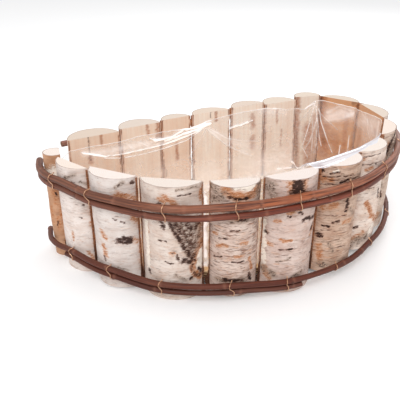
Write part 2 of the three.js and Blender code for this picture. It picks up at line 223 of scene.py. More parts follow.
# Marks of the bark: kind, half width, a line of places (round the bark, height), in
# millimetres, with the crown of the log at zero and the clockwise side positive, and for
# a mark that is fainter or more broken than most, its strength.
bark_marks = {
    10: [
        (DARK, 1.2, [(23, 55), (21, 49)]), (RUST_AND_SHADE, 4, [(31, 26), (22, 23)]),
        (MOSS, 1.6, [(24, 66), (20, 60)]), (MOSS, 4, [(18, 118), (-10, 112)]),
        (DARK, 1.5, [(2, 88), (-12, 86)]), (RUST_AND_SHADE, 3, [(-8, 60), (-12, 42)]),
        (DARK, 2.2, [(7, 127), (12, 122), (18, 117), (20, 110), (23, 105)]),
        (MOSS, 4, [(10, 126), (19, 112), (22, 98)]), (RUST_AND_SHADE, 2.4, [(24, 116), (26, 100)]),
    ],
    11: [
        (RUST_AND_SHADE, 2.4, [(18, 66), (8, 50)], 1.5), (RUST_AND_SHADE, 2.7, [(7, 48), (-8, 37)], 1.5),
        (DARK, 1.6, [(-1, 77), (-4, 67)]), (MOSS, 4, [(31, 15), (14, 23)]),
        (RUST_AND_SHADE, 3, [(31, 20), (17, 28)]), (DARK, 1.6, [(33, 4), (30, 12)]),
        (DARK, 1.2, [(30.4, 35.8), (24.9, 36.9)]), (RUST_AND_SHADE, 1.6, [(25, 106), (18, 108)]),
        (MOSS, 2.4, [(14, 100), (9, 106)]), (DARK, 0.8, [(26.6, 88.8), (19.9, 90.6)]),
        (RUST_AND_SHADE, 2.2, [(34, 118), (29, 119)]), (BARE, 2.5, [(1, 33), (6, 26)]),
        (DARK, 0.6, [(30, 121), (8, 123)], 0.7), (DARK, 0.5, [(32, 112), (6, 113)], 0.7),
        (DARK, 0.5, [(24, 104), (2, 105)], 0.6), (DARK, 0.5, [(30, 84), (10, 83)], 0.6),
    ],
    12: [
        (DARK, 2.2, [(38, 124), (37, 122)]), (DARK, 1.7, [(5, 91), (5, 79)]),
        (MOSS, 2.2, [(0, 79), (-8, 72)]), (DARK, 1.2, [(29.1, 61.1), (22.5, 61.1)]),
        (DARK, 0.9, [(18.9, 65.8), (12.6, 67.2)]), (DARK, 2.1, [(32, 50), (30, 50)]),
        (MOSS, 1.5, [(20, 41), (15, 30)]), (MOSS, 3.2, [(28, 16), (15, 10)]),
        (RUST_AND_SHADE, 2.6, [(37, 114), (25, 114)]), (RUST_AND_SHADE, 2.2, [(20, 103), (9, 107)]),
        (RUST_AND_SHADE, 3, [(31, 82), (18, 86)]), (RUST_AND_SHADE, 2.8, [(30, 38), (27, 17)]),
        (DARK, 0.8, [(27.5, 120.2), (17.9, 121.6)]), (RUST_AND_SHADE, 2, [(6, 65), (-4, 65)]),
        (DARK, 1, [(15.5, 110.6), (6.8, 112.7)]), (BARE, 1.6, [(23, 122), (20, 123)]),
        (DARK, 0.6, [(34, 116), (18, 117.5), (2, 117)], 0.75),
        (DARK, 0.5, [(30, 113), (12, 114), (-6, 112)], 0.7),
        (DARK, 0.6, [(36, 108), (20, 109), (8, 107)], 0.7), (DARK, 0.5, [(26, 104), (2, 103)], 0.7),
        (DARK, 0.5, [(33, 96), (10, 95)], 0.6), (DARK, 0.5, [(24, 74), (4, 73)], 0.6),
        (DARK, 0.5, [(30, 56), (6, 55)], 0.6), (DARK, 0.5, [(20, 36), (0, 35)], 0.6),
    ],
    13: [
        (DARK, 4.6, [(5, 123), (5, 117)], 1.4), (RUST_AND_SHADE, 3.2, [(12, 124), (11, 115)]),
        (RUST_AND_SHADE, 3, [(-1, 124), (-2, 115)]), (DARK, 1, [(12.7, 113.8), (-4.1, 113.2)]),
        (MOSS, 5.5, [(34, 121), (29, 110)]), (DARK, 1.2, [(1.7, 91.8), (-1.8, 90.5)]),
        (DARK, 1.5, [(-4, 83), (-11, 83), (-29, 78)]), (DARK, 2, [(-19, 67), (-24, 72)]),
        (RUST_AND_SHADE, 2.6, [(-19, 63), (-26, 72)]), (DARK, 1.4, [(35, 69), (32, 68)]),
        (RUST_AND_SHADE, 1.8, [(34, 57), (27, 56)]), (RUST_AND_SHADE, 1.6, [(18, 62), (8, 62)]),
        (RUST_AND_SHADE, 1.6, [(25, 83), (21, 83)]), (DARK, 0.8, [(12.7, 88.5), (10.7, 88.5)]),
        (RUST_AND_SHADE, 1.8, [(13, 93), (8, 93)]), (MOSS, 3.4, [(36, 28), (24, 21)]),
        (RUST_AND_SHADE, 3, [(36, 33), (28, 17)]), (MOSS, 2.6, [(3, 18), (-7, 22)]),
        (DARK, 0.9, [(-22.3, 37.7), (-27.8, 36.4)]), (MOSS, 1, [(20.7, 36.7), (6.9, 41.5)]),
        (DARK, 0.7, [(18.7, 51.1), (5.7, 51.9)]), (BARE, 2.6, [(39, 102), (35, 33)]),
    ],
    14: [
        (RUST_AND_SHADE, 3.6, [(12, 123), (7, 118), (-2, 116), (-13, 117), (-21, 120)], 1.5),
        (DARK, 1.3, [(12, 121), (7, 116), (-2, 114), (-13, 115), (-21, 118)], 0.45),
        (BARE, 4.5, [(2, 129), (-13, 127)]), (DARK, 0.9, [(-3.3, 127.4), (-3.8, 126.9)]),
        (DARK, 1.2, [(9.4, 115.8), (1.2, 113.4), (-9.1, 113.5)]),
        (MOSS, 4.6, [(28, 123), (18, 118)]),
        (MOSS, 3.2, [(17, 115), (27, 109)]), (MOSS, 3.4, [(-24, 124), (-23, 109)]),
        (DARK, 1.5, [(0, 92), (-7, 92)]), (MOSS, 2, [(6, 90), (-15, 91)]),
        (RUST_AND_SHADE, 1.8, [(21, 62), (11, 63)]), (RUST_AND_SHADE, 1.5, [(-4, 66), (-10, 65)]),
        (RUST_AND_SHADE, 1.6, [(26, 74), (22, 75)]), (RUST_AND_SHADE, 1.4, [(2, 52), (-6, 52)]),
        (MOSS, 3, [(19, 23), (-6, 23)]), (DARK, 1.7, [(12, 24), (-5, 23)]),
        (DARK, 0.7, [(7.5, 79.2), (-2.1, 80.2)]), (DARK, 0.7, [(19.7, 70), (11.2, 71)]),
        (DARK, 0.6, [(4.6, 45.6), (-7.6, 45.3)]), (DARK, 0.6, [(24.4, 47.7), (14.8, 49.9)]),
        (RUST_AND_SHADE, 1.6, [(-14, 47), (-19, 32)]), (DARK, 1.6, [(-15, 27), (-18, 20)]),
    ],
    15: [
        (RUST_AND_SHADE, 2.8, [(6, 113), (-2, 113), (-7, 110)]), (RUST_AND_SHADE, 1.8, [(2, 117), (-2, 112)]),
        (RUST_AND_SHADE, 2.2, [(-35, 118), (-36, 110)]), (DARK, 1.3, [(8, 108), (7, 108)]),
        (DARK, 2, [(6, 89), (4, 82)]),
        (DARK, 1.5, [(-2, 88), (-8, 77), (-16, 62), (-22, 50), (-27, 43)]),
        (DARK, 4.5, [(-8, 88), (-16, 72), (-23, 54)], 0.6), (DARK, 5, [(-17, 88), (-24, 66)], 0.42),
        (DARK, 4, [(-25, 86), (-27, 60)], 0.45), (DARK, 2, [(-19, 86), (-23, 80)], 0.8),
        (DARK, 4.5, [(-31, 88), (-32, 68)], 0.45), (RUST_AND_SHADE, 3, [(-34, 84), (-34, 62)]),
        (MOSS, 7, [(-10, 86), (-22, 68)]), (MOSS, 6, [(-16, 84), (-25, 60)]),
        (MOSS, 3, [(-19, 58), (-25, 48)]), (MOSS, 3.5, [(-29, 83), (-32, 67)]),
        (DARK, 2.6, [(-16, 46), (-22, 43)]), (DARK, 1.2, [(-9.2, 52.3), (-9.5, 46.5)]),
        (RUST_AND_SHADE, 1.7, [(-2, 55), (-5, 55)]), (DARK, 0.6, [(-3.4, 55.3), (-4.4, 55.1)]),
        (DARK, 1.3, [(-22, 24), (-24, 24)]),
        (RUST_AND_SHADE, 3, [(-36, 60), (-31, 53), (-26, 46), (-24.5, 36), (-28, 27), (-35, 22)], 1.6),
        (DARK, 1.5, [(-35, 60), (-30, 53), (-25, 45), (-23.5, 36), (-27, 27), (-34, 23)], 0.62),
        (BARE, 3, [(-36, 50), (-33, 34)]), (DARK, 1.5, [(-33, 32), (-36, 28)]),
        (BARE, 2.2, [(26, 83), (25, 30)]), (RUST_AND_SHADE, 1.5, [(24, 79), (23, 73)]),
        (RUST_AND_SHADE, 1.7, [(24, 57), (24, 45)]), (DARK, 1.6, [(25, 28), (23, 25)]),
        (MOSS, 1.4, [(-6, 30), (-17, 24)]), (DARK, 0.6, [(10.1, 68.3), (1.7, 67.7)]),
        (MOSS, 1.6, [(14, 128), (0, 128)]), (DARK, 0.6, [(3.4, 44.7), (-3.6, 43.1)]),
        (MOSS, 1.2, [(-9.3, 123.6), (-29.6, 124.1)]), (DARK, 0.5, [(-11, 117.3), (-24.9, 117.1)]),
    ],
    16: [
        (DARK, 2.6, [(-12, 58), (-13, 58)]), (DARK, 2.3, [(-17, 60), (-19, 60)]),
        (DARK, 2.6, [(-23, 59), (-24, 57)]), (DARK, 1.5, [(-11, 56), (-25, 55)]),
        (RUST_AND_SHADE, 2.4, [(-27, 57), (-31, 55)]), (DARK, 1.2, [(-31.7, 120.1), (-29.7, 120.1)]),
        (DARK, 1.4, [(-36, 111), (-36, 107)]), (RUST_AND_SHADE, 2.2, [(-35, 113), (-36, 100)]),
        (MOSS, 1.6, [(-14, 117), (-21, 123)]), (RUST_AND_SHADE, 4, [(-14, 108), (-29, 103)]),
        (RUST_AND_SHADE, 2.8, [(-29, 82), (-36, 75)]), (RUST_AND_SHADE, 2.8, [(6, 64), (2, 59)]),
        (RUST_AND_SHADE, 2.4, [(6, 49), (3, 37)]), (DARK, 1, [(5.7, 35.1), (4, 30.8)]),
        (DARK, 0.5, [(-16.5, 79.3), (-20.4, 77.9)]), (DARK, 0.5, [(-8.8, 82.4), (-11.8, 81.5)]),
        (RUST_AND_SHADE, 2.2, [(-36, 54), (-36, 28)]), (MOSS, 0.9, [(-9.7, 26.6), (-19.7, 22.8)]),
    ],
    17: [
        (RUST_AND_SHADE, 2.3, [(-28, 61), (-30, 55)]), (RUST_AND_SHADE, 2, [(-30, 44), (-30, 30)]),
        (MOSS, 1.6, [(-5, 111), (-16, 116)]), (DARK, 0.7, [(-11.1, 107.2), (-13.2, 106.4)]),
        (MOSS, 1.2, [(-20.7, 107.9), (-30.4, 104.8)]), (RUST_AND_SHADE, 1.8, [(-20, 25), (-26, 17)]),
        (DARK, 0.5, [(-15.3, 67.5), (-18.4, 66.5)]), (DARK, 0.5, [(-21, 81.7), (-23.1, 81.7)]),
        (RUST_AND_SHADE, 1.2, [(-5.6, 47.7), (-5.5, 37.9)]), (RUST_AND_SHADE, 1.4, [(-28, 19), (-30, 11)]),
    ],
    18: [
        (RUST_AND_SHADE, 2.6, [(-10, 79), (-18, 80)]), (RUST_AND_SHADE, 2.6, [(-14, 75), (-15, 66)]),
        (DARK, 0.8, [(-15.7, 78.5), (-15.8, 74.9)]), (RUST_AND_SHADE, 2, [(-14, 48), (-14, 34)]),
        (RUST_AND_SHADE, 3, [(-21, 30), (-23, 12)]), (DARK, 0.7, [(-13.2, 42.5), (-13.1, 37.5)]),
        (RUST_AND_SHADE, 2.4, [(-20, 64), (-20, 42)]), (RUST_AND_SHADE, 2.4, [(-7, 59), (-7, 41)]),
        (BARE, 6, [(-9, 98), (-19, 103)]),
    ],
}

# Marks of the sawn faces, as those of the bark, with the place across the flat face.
face_marks = {
    1: [
        (DARK, 0.55, [(-7, 122), (-6.5, 98)]), (RUST_AND_SHADE, 2.2, [(-6, 97), (-6, 90)]),
        (DARK, 0.8, [(-7, 95), (-6, 92)]), (RUST_AND_SHADE, 1.2, [(9, 121), (9, 108)]),
    ],
    2: [(RUST_AND_SHADE, 1.5, [(9, 124), (9, 112)]), (RUST_AND_SHADE, 1.6, [(22, 123), (22, 100)])],
    3: [(RUST_AND_SHADE, 1.6, [(0, 93), (0, 72)]), (DARK, 0.5, [(-16, 60), (-16, 20)])],
    4: [(RUST_AND_SHADE, 1.8, [(7, 126), (7, 114)]), (DARK, 0.5, [(-1, 126), (-1, 119)])],
    5: [(RUST_AND_SHADE, 3.2, [(8, 80), (8, 68)]), (RUST_AND_SHADE, 2.8, [(7, 112), (9, 96)])],
    6: [(RUST_AND_SHADE, 0.9, [(3, 84), (3, 60)]), (RUST_AND_SHADE, 1.2, [(-6, 112), (-5, 96)])],
    # On logs 7, 8 and 9 the marks nearest the left edge of the face are partly brown bark edge and
    # partly painted shade, where that face stands back behind the log before it.
    7: [
        (RUST_AND_SHADE, 3.6, [(-16, 125), (-14, 60), (-12, 24)]), (RUST_AND_SHADE, 5.5, [(3, 80), (6, 30)]),
        (RUST_AND_SHADE, 3, [(12, 98), (13, 30)], 0.7), (DARK, 1.4, [(-14, 76), (-12, 40)], 0.5),
    ],
    8: [
        (DARK, 2, [(-27, 126), (-27, 90)], 0.8), (RUST_AND_SHADE, 4.5, [(-25, 126), (-24, 60)]),
        (RUST_AND_SHADE, 7, [(-19, 82), (-16, 44)], 0.9), (RUST_AND_SHADE, 6, [(-4, 70), (4, 48)], 0.6),
        (DARK, 2.2, [(-20, 76), (-17, 58)], 0.4), (DARK, 2.2, [(24, 125), (20, 122)], 0.6),
        (RUST_AND_SHADE, 2.6, [(12, 110), (14, 50)], 0.7), (RUST_AND_SHADE, 2.2, [(26, 118), (26, 50)], 0.9),
    ],
    9: [(DARK, 1.6, [(-4, 54), (3, 52)]), (RUST_AND_SHADE, 3, [(18, 104), (26, 98)]),
        (RUST_AND_SHADE, 4, [(-22, 90), (-20, 50)], 0.5)],
}

# Finish of each log: its papery bark, the shade that the paper clouds into, how many
# lenticels it has from 0 to 1, the tone of its sawn face and the tone of its cut ends.
# The cut-end tones hold painted light and shade: darker on the back logs 1 to 9, paler on
# the front ones.
PINK_WHITE, WARM_WHITE, COOL_WHITE = 0xE6D8CE, 0xE9DCD2, 0xE3D9D4
log_finishes = {
    1: (WARM_WHITE, 0xCDB4A3, 0.4, 0xEFDDCC, 0xDACABC),
    2: (PINK_WHITE, 0xC9AE9C, 0.5, 0xF8EBDD, 0xDCCFC4),
    3: (COOL_WHITE, 0xC4A693, 0.3, 0xF4E1D0, 0xDDCFC2),
    4: (WARM_WHITE, 0xCDB4A3, 0.6, 0xFFF8EE, 0xDECDBE),
    5: (PINK_WHITE, 0xC9AE9C, 0.4, 0xFFFAF1, 0xDDCDC0),
    6: (WARM_WHITE, 0xC4A693, 0.5, 0xFDF6EC, 0xDED0C2),
    7: (COOL_WHITE, 0xC9AE9C, 0.3, 0xF2EDE4, 0xDED0C2),
    8: (PINK_WHITE, 0xC4A693, 0.4, 0xD3A37E, 0xDCCEC0),
    9: (WARM_WHITE, 0xBFA08C, 0.5, 0xDDAE8B, 0xDDD0C4),
    10: (0xDCC8B8, 0xB79580, 0.6, 0xE0B898, 0xEEE0D6),
    11: (0xF2E2D6, 0xD2B09A, 0.5, 0xE3BF9F, 0xEEE4DC),
    12: (0xD2B6A2, 0xA9816A, 0.8, 0xE3BF9F, 0xEFE4DE),
    13: (0xDCC8BE, 0xC09E90, 0.55, 0xE6C4A6, 0xECE1DC),
    14: (0xDCC8BC, 0xC09E8E, 1.0, 0xE6C4A6, 0xEADFD8),
    15: (0xE2D4CA, 0xC9B0A0, 0.35, 0xE6C4A6, 0xE9DED6),
    16: (0xE2D8D2, 0xCCBAB0, 0.15, 0xE3BF9F, 0xF1E6E0),
    17: (0xEBDFD8, 0xD4BFB2, 0.2, 0xE3BF9F, 0xF0E2D8),
    18: (0xC89A7A, 0xA87755, 0.15, 0xE0B898, 0xF0E5DE),
}
back_logs = 7


def edge_points(mesh):
    """The two end points of every edge of a mesh."""
    points = np.empty(len(mesh.vertices) * 3)
    mesh.vertices.foreach_get("co", points)
    ends = np.empty(len(mesh.edges) * 2, np.int32)
    mesh.edges.foreach_get("vertices", ends)
    return points.reshape(-1, 3)[ends.reshape(-1, 2)]


def log_measure(mesh):
    """A half log's size and place, read from its node.

    The longest edge at the foot is the chord of the half round, and the same edge at the
    top shows the lean. The bark is an arc through the chord's ends and the crown.
    """
    edges = edge_points(mesh)
    points = edges.reshape(-1, 3)
    foot = points[:, 2].min()
    top = points[:, 2].max()
    chords = []
    for level in (foot, top):
        flat = edges[(np.abs(edges[:, :, 2] - level) < 0.1 * mm).all(axis=1)]
        chords.append(flat[np.linalg.norm(flat[:, 0] - flat[:, 1], axis=1).argmax(), :, :2])
    middle = chords[0].mean(axis=0)
    ring = points[np.abs(points[:, 2] - foot) < 0.1 * mm, :2] - middle
    line = chords[0][1] - chords[0][0]
    width = float(np.linalg.norm(line))
    outward = np.array([-line[1], line[0]]) / width
    outward *= np.sign((ring @ outward).sum())
    along = np.array([outward[1], -outward[0]])
    depth = float((ring @ outward).max())
    radius = (width**2 / 4 + depth**2) / (2 * depth)
    lean = float((chords[1].mean(axis=0) - middle) @ outward)
    return SimpleNamespace(middle=middle, along=along, outward=outward, width=width,
                           depth=depth, radius=radius, foot=foot, top=top, lean=lean,
                           half_angle=math.atan2(width / 2, radius - depth))


def scattered(i, j, seed):
    """Random numbers from -1 to 1 for whole numbers i and j, by mixing their bits."""
    bits = (i * 374761393 + j * 668265263 + seed * 974634777) & 0xFFFFFFFF
    bits = ((bits ^ (bits >> 13)) * 1274126177) & 0xFFFFFFFF
    return (bits ^ (bits >> 16)) / 0x7FFFFFFF - 1.0


def ripple(x, y, seed):
    """Smooth noise from -1 to 1: scattered numbers on a lattice, eased by 3t² - 2t³."""
    i = np.floor(x).astype(np.int64)
    j = np.floor(y).astype(np.int64)
    a = (x - i) ** 2 * (3 - 2 * (x - i))
    b = (y - j) ** 2 * (3 - 2 * (y - j))
    near = scattered(i, j, seed) * (1 - a) + scattered(i + 1, j, seed) * a
    far = scattered(i, j + 1, seed) * (1 - a) + scattered(i + 1, j + 1, seed) * a
    return near * (1 - b) + far * b


def cloud(x, y, seed, layers=3):
    """Ripples on ripples, each layer twice as fine and half as strong as the last. The
    places x and y are in widths of the widest ripple."""
    total = 0
    for layer in range(layers):
        total = total + ripple(x * 2**layer, y * 2**layer, seed + layer) / 2**layer
    return total / (2 - 2.0 ** (1 - layers))


def ease(value):
    """0 below zero, 1 above one, and 3t² - 2t³ in between."""
    held = np.clip(value, 0, 1)
    return held * held * (3 - 2 * held)


def line_distance(x, y, places):
    """Distance of each point (x, y) from a line of places: the least over its stretches
    of the distance from the nearest point of the stretch."""
    best = np.full(x.shape, np.inf)
    for (x0, y0), (x1, y1) in zip(places[:-1], places[1:]):
        run = max((x1 - x0) ** 2 + (y1 - y0) ** 2, 1e-9)
        way = np.clip(((x - x0) * (x1 - x0) + (y - y0) * (y1 - y0)) / run, 0, 1)
        best = np.minimum(best, np.hypot(x0 + way * (x1 - x0) - x, y0 + way * (y1 - y0) - y))
    return best


def mark_masks(x, y, marks, seed):
    """Four masks, one a kind of mark: 1 along a mark's line and 0 from twice its half
    width on. Noise bends the lines and makes them thick and thin, faint and strong, and
    the material tears their edges."""
    masks = np.zeros((*x.shape, 4))
    bent_x = x + mark_bends[0] * cloud(x / 5, y / 2.4, seed + 300)
    bent_y = y + mark_bends[1] * cloud(x / 3.6, y / 5, seed + 301)
    full = mark_strength + mark_faint * cloud(x / 2.6, y / 1.7, seed + 302)
    for count, (kind, half_width, places, *strength) in enumerate(marks):
        frayed = cloud(x / (1.6 + half_width), y / (0.9 + 0.6 * half_width), seed + count)
        reach = line_distance(bent_x, bent_y, places) / half_width + mark_fray * frayed
        mask = np.clip((2 - reach) / mark_blur, 0, 1) * full * (strength[0] if strength else 1)
        masks[..., kind] = np.maximum(masks[..., kind], np.clip(mask, 0, 1))
    return masks


# Marks of a log whose bark faces away from the camera: kind, how many and half width.
spare_kinds = ((DARK, 5, 1.6), (RUST_AND_SHADE, 4, 2.2), (MOSS, 2, 2.6), (DARK, 6, 0.7))
spare_margin = 6
spare_spread = 0.85


def spare_marks(number, half_arc, foot, top):
    """A few knots, scars and mossy patches, in places that the log's number draws."""
    dice = np.random.default_rng(number)
    marks = []
    for kind, count, size in spare_kinds:
        for _ in range(count):
            s = dice.uniform(-spare_spread, spare_spread) * half_arc
            h = dice.uniform(foot + spare_margin, top - spare_margin)
            stretch = dice.uniform(1, 7)
            marks.append((kind, size * dice.uniform(0.6, 1.4), [(s, h), (s + stretch, h)]))
    return marks


def log_surface(log, number):
    """Points, grain places, masks and zones of a half log, as rows of closed loops.

    A loop runs round the bark, x = R sin a and y = d - R + R cos a, and back along the
    flat face, y = 0. Rows climb from foot to top, and at both ends they shrink to a hub,
    which makes the sawn ends. Knots sink the bark and clouds of noise swell it.
    """
    half_arc = log.radius * log.half_angle
    bark_steps = round(2 * half_arc / log_cell)
    face_steps = round(log.width / face_cell)
    angle = log.half_angle * (1 - 2 * np.arange(bark_steps + 1) / bark_steps)
    inside = log.width * (np.arange(1, face_steps) / face_steps - 0.5)
    across = np.concatenate([log.radius * np.sin(angle), inside])
    proud = np.concatenate([log.depth - log.radius + log.radius * np.cos(angle), 0 * inside])
    on_bark = np.arange(len(across)) <= bark_steps
    place = np.where(on_bark, 0.0, across)
    place[: bark_steps + 1] = log.radius * angle
    side = np.linspace(0, 1, round((log.top - log.foot) / log_cell))
    shrink = np.concatenate([rim_shares[::-1], 0 * side, rim_shares])[:, None]
    climb = np.concatenate([0 * rim_shares, side, 0 * rim_shares + 1])[:, None]

    tilt = cut_tilt * np.array([scattered(number, 1, 5), scattered(number, 2, 5)])
    cut = log.top + tilt[0] * across + tilt[1] * (proud - log.depth) - cut_drop
    cut = np.minimum(cut, log.top)
    height = log.foot + climb * (cut - log.foot)
    x, y = np.broadcast_arrays(place / mm, height / mm)
    marks = bark_marks.get(number)
    if marks is None:
        marks = spare_marks(number, half_arc / mm, log.foot / mm, log.top / mm)
    bark = mark_masks(x, y, marks, 40 * number)
    face = mark_masks(x, y, face_marks.get(number, []), 40 * number + 7)
    # Painted shade towards the bark's edges, where the logs meet, laid into the rust mask.
    near_edge = ease(1 - (half_arc - np.abs(place)) / edge_shade_width)
    painted_edge_shade = near_edge * (0.28 + 0.7 * cloud(x / 9, y / 15, number + 30))
    bark[..., RUST_AND_SHADE] = np.maximum(bark[..., RUST_AND_SHADE], np.clip(painted_edge_shade, 0, edge_shade_limit))
    masks = np.where(on_bark[None, :, None], bark, face)

    relief = slow_swelling * cloud(x / 19, y / 26, number)
    relief += fine_swelling * cloud(x / 6, y / 1.6, number + 60)
    relief -= knot_sink * masks[..., DARK]
    relief -= rust_sink * masks[..., RUST_AND_SHADE] + bare_sink * masks[..., BARE]
    relief += masks[..., MOSS] * (0.25 + 0.6 * cloud(x / 1.5, y / 2.2, number + 90))
    relief = np.minimum(relief, most_proud)
    edge = ease((half_arc - np.abs(place)) / bark_fade)
    sawn = saw_marks * cloud(x / 40, y / 3.1, number + 120)
    relief = np.where(on_bark, relief * edge, sawn) * mm
    lean_angle = np.concatenate([angle, 0 * inside])
    swell = np.interp(climb, swell_heights, swell_sizes)
    nick = corner_nick * cloud(y / 5, x / 30, number + 150)
    corner = ease(1 - (log.width / 2 - np.abs(across)) / corner_width)
    wide = across + relief * np.sin(lean_angle) - nick * corner * np.sign(across)
    deep = proud * swell + relief * np.cos(lean_angle)

    hub = log.depth * hub_share
    wide = wide * (1 - shrink)
    deep = deep * (1 - shrink) + hub * shrink
    inset = shrink * np.hypot(across, proud - hub)
    cap = shrink > rim_shares[0]
    rind = rind_depth * (1 + 0.35 * cloud(x / 4, y / 4, number + 170)) - inset
    rim = np.zeros_like(masks)
    rim[..., RUST_AND_SHADE] = np.where(on_bark, ease(rind / rind_blur), 0)
    masks = np.where(cap[..., None], rim, masks)
    edge_band = log.width / 2 - np.abs(across)
    strip = rind_depth * (strip_width + strip_ragged * cloud(y / 7, x / 9, number + 180))
    brown = ease((strip - edge_band) / strip_blur) * ~on_bark
    masks[..., RUST_AND_SHADE] = np.maximum(masks[..., RUST_AND_SHADE], np.where(cap, 0, brown))
    speckled = ease((speckled_share * strip - edge_band) / rind_blur) * ~on_bark
    speckled = speckled * (0.55 + 0.6 * cloud(y / 3, x / 2, number + 190))
    masks[..., DARK] = np.maximum(masks[..., DARK], np.where(cap, 0, np.clip(speckled, 0, 1)))

    out = deep + climb * log.lean
    flat_place = log.middle + wide[..., None] * log.along + out[..., None] * log.outward
    points = np.concatenate([flat_place, height[..., None]], axis=-1)
    grain = np.stack([wide, deep, height], axis=-1)
    ends = shrink > 0
    zones = np.where(np.arange(len(across)) < bark_steps, 0, 1)
    return points, grain, masks, np.where(ends[1:] & ends[:-1], 2, zones)


def skin(name, points, finishes, zones=None, closed=True, **layers):
    """A mesh from rows of closed loops: each loop joins the next, and the last closes on a
    point in its own middle. So does the first, unless the mesh stays open there, as a bag
    does. Zones number the material of each face. Layers become attributes."""
    high, wide = points.shape[:2]
    here = np.arange(high * wide).reshape(high, wide)
    beside = np.roll(here, -1, axis=1)
    zones = np.zeros((high - 1, wide), int) if zones is None else zones
    sides = np.stack([here[:-1], beside[:-1], beside[1:], here[1:]], axis=-1).reshape(-1, 4)
    poles = high * wide + np.arange(2 if closed else 1)
    foot = np.stack([np.full(wide, poles[0]), beside[0], here[0]], axis=-1)
    head = np.stack([np.full(wide, poles[-1]), here[-1], beside[-1]], axis=-1)

    def with_poles(values):
        ends = np.stack([values[0].mean(axis=0), values[-1].mean(axis=0)])[-len(poles):]
        return np.concatenate([values.reshape(high * wide, -1), ends]).astype(np.float32)

    mesh = bpy.data.meshes.new(name)
    faces = sides.tolist() + (foot.tolist() if closed else []) + head.tolist()
    mesh.from_pydata(with_poles(points).tolist(), [], faces)
    slots = np.concatenate([zones.ravel(), zones[0, :wide if closed else 0], zones[-1]])
    mesh.polygons.foreach_set("material_index", slots.astype(np.int32))
    mesh.polygons.foreach_set("use_smooth", np.ones(len(faces), bool))
    for layer, values in layers.items():
        kind, field = {3: ("FLOAT_VECTOR", "vector"), 4: ("FLOAT_COLOR", "color")}[values.shape[-1]]
        attribute = mesh.attributes.new(layer, kind, "POINT")
        attribute.data.foreach_set(field, with_poles(values).ravel())
    for finish in finishes:
        mesh.materials.append(finish)
    if closed:
        mesh.set_sharp_from_angle(angle=sharp_from)
    return mesh


def show(mesh, node_name=None):
    """Shows a mesh as a piece, in the place of a CAD node if one is named."""
    piece = placed(mesh.name, mesh)
    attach(piece, "root")
    if node_name:
        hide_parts(node_name)
    return piece


def group_tree(name, inputs, outputs):
    """A shader node group with number and vector sockets, and its two end nodes."""
    kinds = {"value": "NodeSocketFloat", "vector": "NodeSocketVector"}
    tree = bpy.data.node_groups.new(name, "ShaderNodeTree")
    for way, labels in (("INPUT", inputs), ("OUTPUT", outputs)):
        for label, kind in labels.items():
            tree.interface.new_socket(label, in_out=way, socket_type=kinds[kind])
    return tree, tree.nodes.new("NodeGroupInput").outputs, tree.nodes.new("NodeGroupOutput")


def blend(tree, share, first, second):
    """The colour that a Mix node makes of two, by a share."""
    return node(tree, "Mix", {0: share, 6: first, 7: second}, data_type="RGBA").outputs[2]


def remap(tree, value, low, high, to_low=0.0, to_high=1.0):
    """A value between two limits as a number between two others, held inside them."""
    inputs = {"Value": value, "From Min": low, "From Max": high,
              "To Min": to_low, "To Max": to_high}
    return node(tree, "MapRange", inputs).outputs["Result"]


def painted(tree, color, coats):
    """A colour with coats laid over it in turn. A coat is a value, then the share of its
    tone for a value of 1, or two limits of the value and the shares there, then its tone."""
    for value, *limits, tone in coats:
        share = remap(tree, value, *limits) if len(limits) > 1 else times(tree, value, *limits)
        color = blend(tree, share, color, linear(tone) if isinstance(tone, int) else tone)
    return color


def stretched_noise(tree, place, scale, detail, rough, warp=0.0):
    """Noise whose lumps are as far apart as the scale says, in lumps a metre each way."""
    spread = node(tree, "Mapping", {"Vector": place, "Scale": scale}).outputs[0]
    inputs = {"Vector": spread, "Scale": 1.0, "Detail": detail, "Roughness": rough,
              "Distortion": warp}
    return node(tree, "TexNoise", inputs).outputs["Fac"]


def lenticel_group():
    """Lenticels: the short dark dashes that lie level on birch bark, in two sizes, and
    the long thin wrinkles of the paper, where a stretched noise crosses its middle."""
    tree, given, result = group_tree(
        "Birch Lenticels",
        {"Place": "vector", "Amount": "value"},
        {"Dashes": "value", "Fine": "value", "Wrinkles": "value"},
    )
    level = remap(tree, given["Amount"], 0.0, 1.0, 0.69, 0.575)
    coarse = stretched_noise(tree, given["Place"], (125, 125, 1150), 3.0, 0.5, 0.3)
    fine = stretched_noise(tree, given["Place"], (420, 420, 2300), 2.0, 0.6, 0.2)
    folds = stretched_noise(tree, given["Place"], (42, 42, 380), 4.0, 0.6, 0.5)
    places = stretched_noise(tree, given["Place"], (70, 70, 160), 3.0, 0.6)
    beside = maths(tree, "ABSOLUTE", minus(tree, folds, 0.5), 0.0)
    wrinkles = times(tree, remap(tree, beside, 0.012, 0.05, 1.0, 0.0),
                     remap(tree, places, 0.44, 0.6))
    dashes = times(tree, minus(tree, coarse, level), 16.0, clamp=True)
    tree.links.new(wrinkles, result.inputs["Wrinkles"])
    tree.links.new(dashes, result.inputs["Dashes"])
    tree.links.new(remap(tree, fine, 0.56, 0.72), result.inputs["Fine"])
    return tree


def wood_grain_group():
    """Grain of sawn wood: long soft streaks up the log, fine fibres and saw lines."""
    tree, given, result = group_tree(
        "Sawn Grain",
        {"Place": "vector"},
        {"Streaks": "value", "Fibres": "value", "Height": "value"},
    )
    streaks = stretched_noise(tree, given["Place"], (120, 120, 7), 3.0, 0.6, 0.6)
    fibres = stretched_noise(tree, given["Place"], (900, 900, 26), 3.0, 0.6)
    saw_lines = stretched_noise(tree, given["Place"], (30, 30, 1100), 2.0, 0.6)
    height = plus(tree, fibres, times(tree, saw_lines, 0.6))
    tree.links.new(remap(tree, streaks, 0.36, 0.68), result.inputs["Streaks"])
    tree.links.new(remap(tree, fibres, 0.3, 0.7), result.inputs["Fibres"])
    tree.links.new(height, result.inputs["Height"])
    return tree


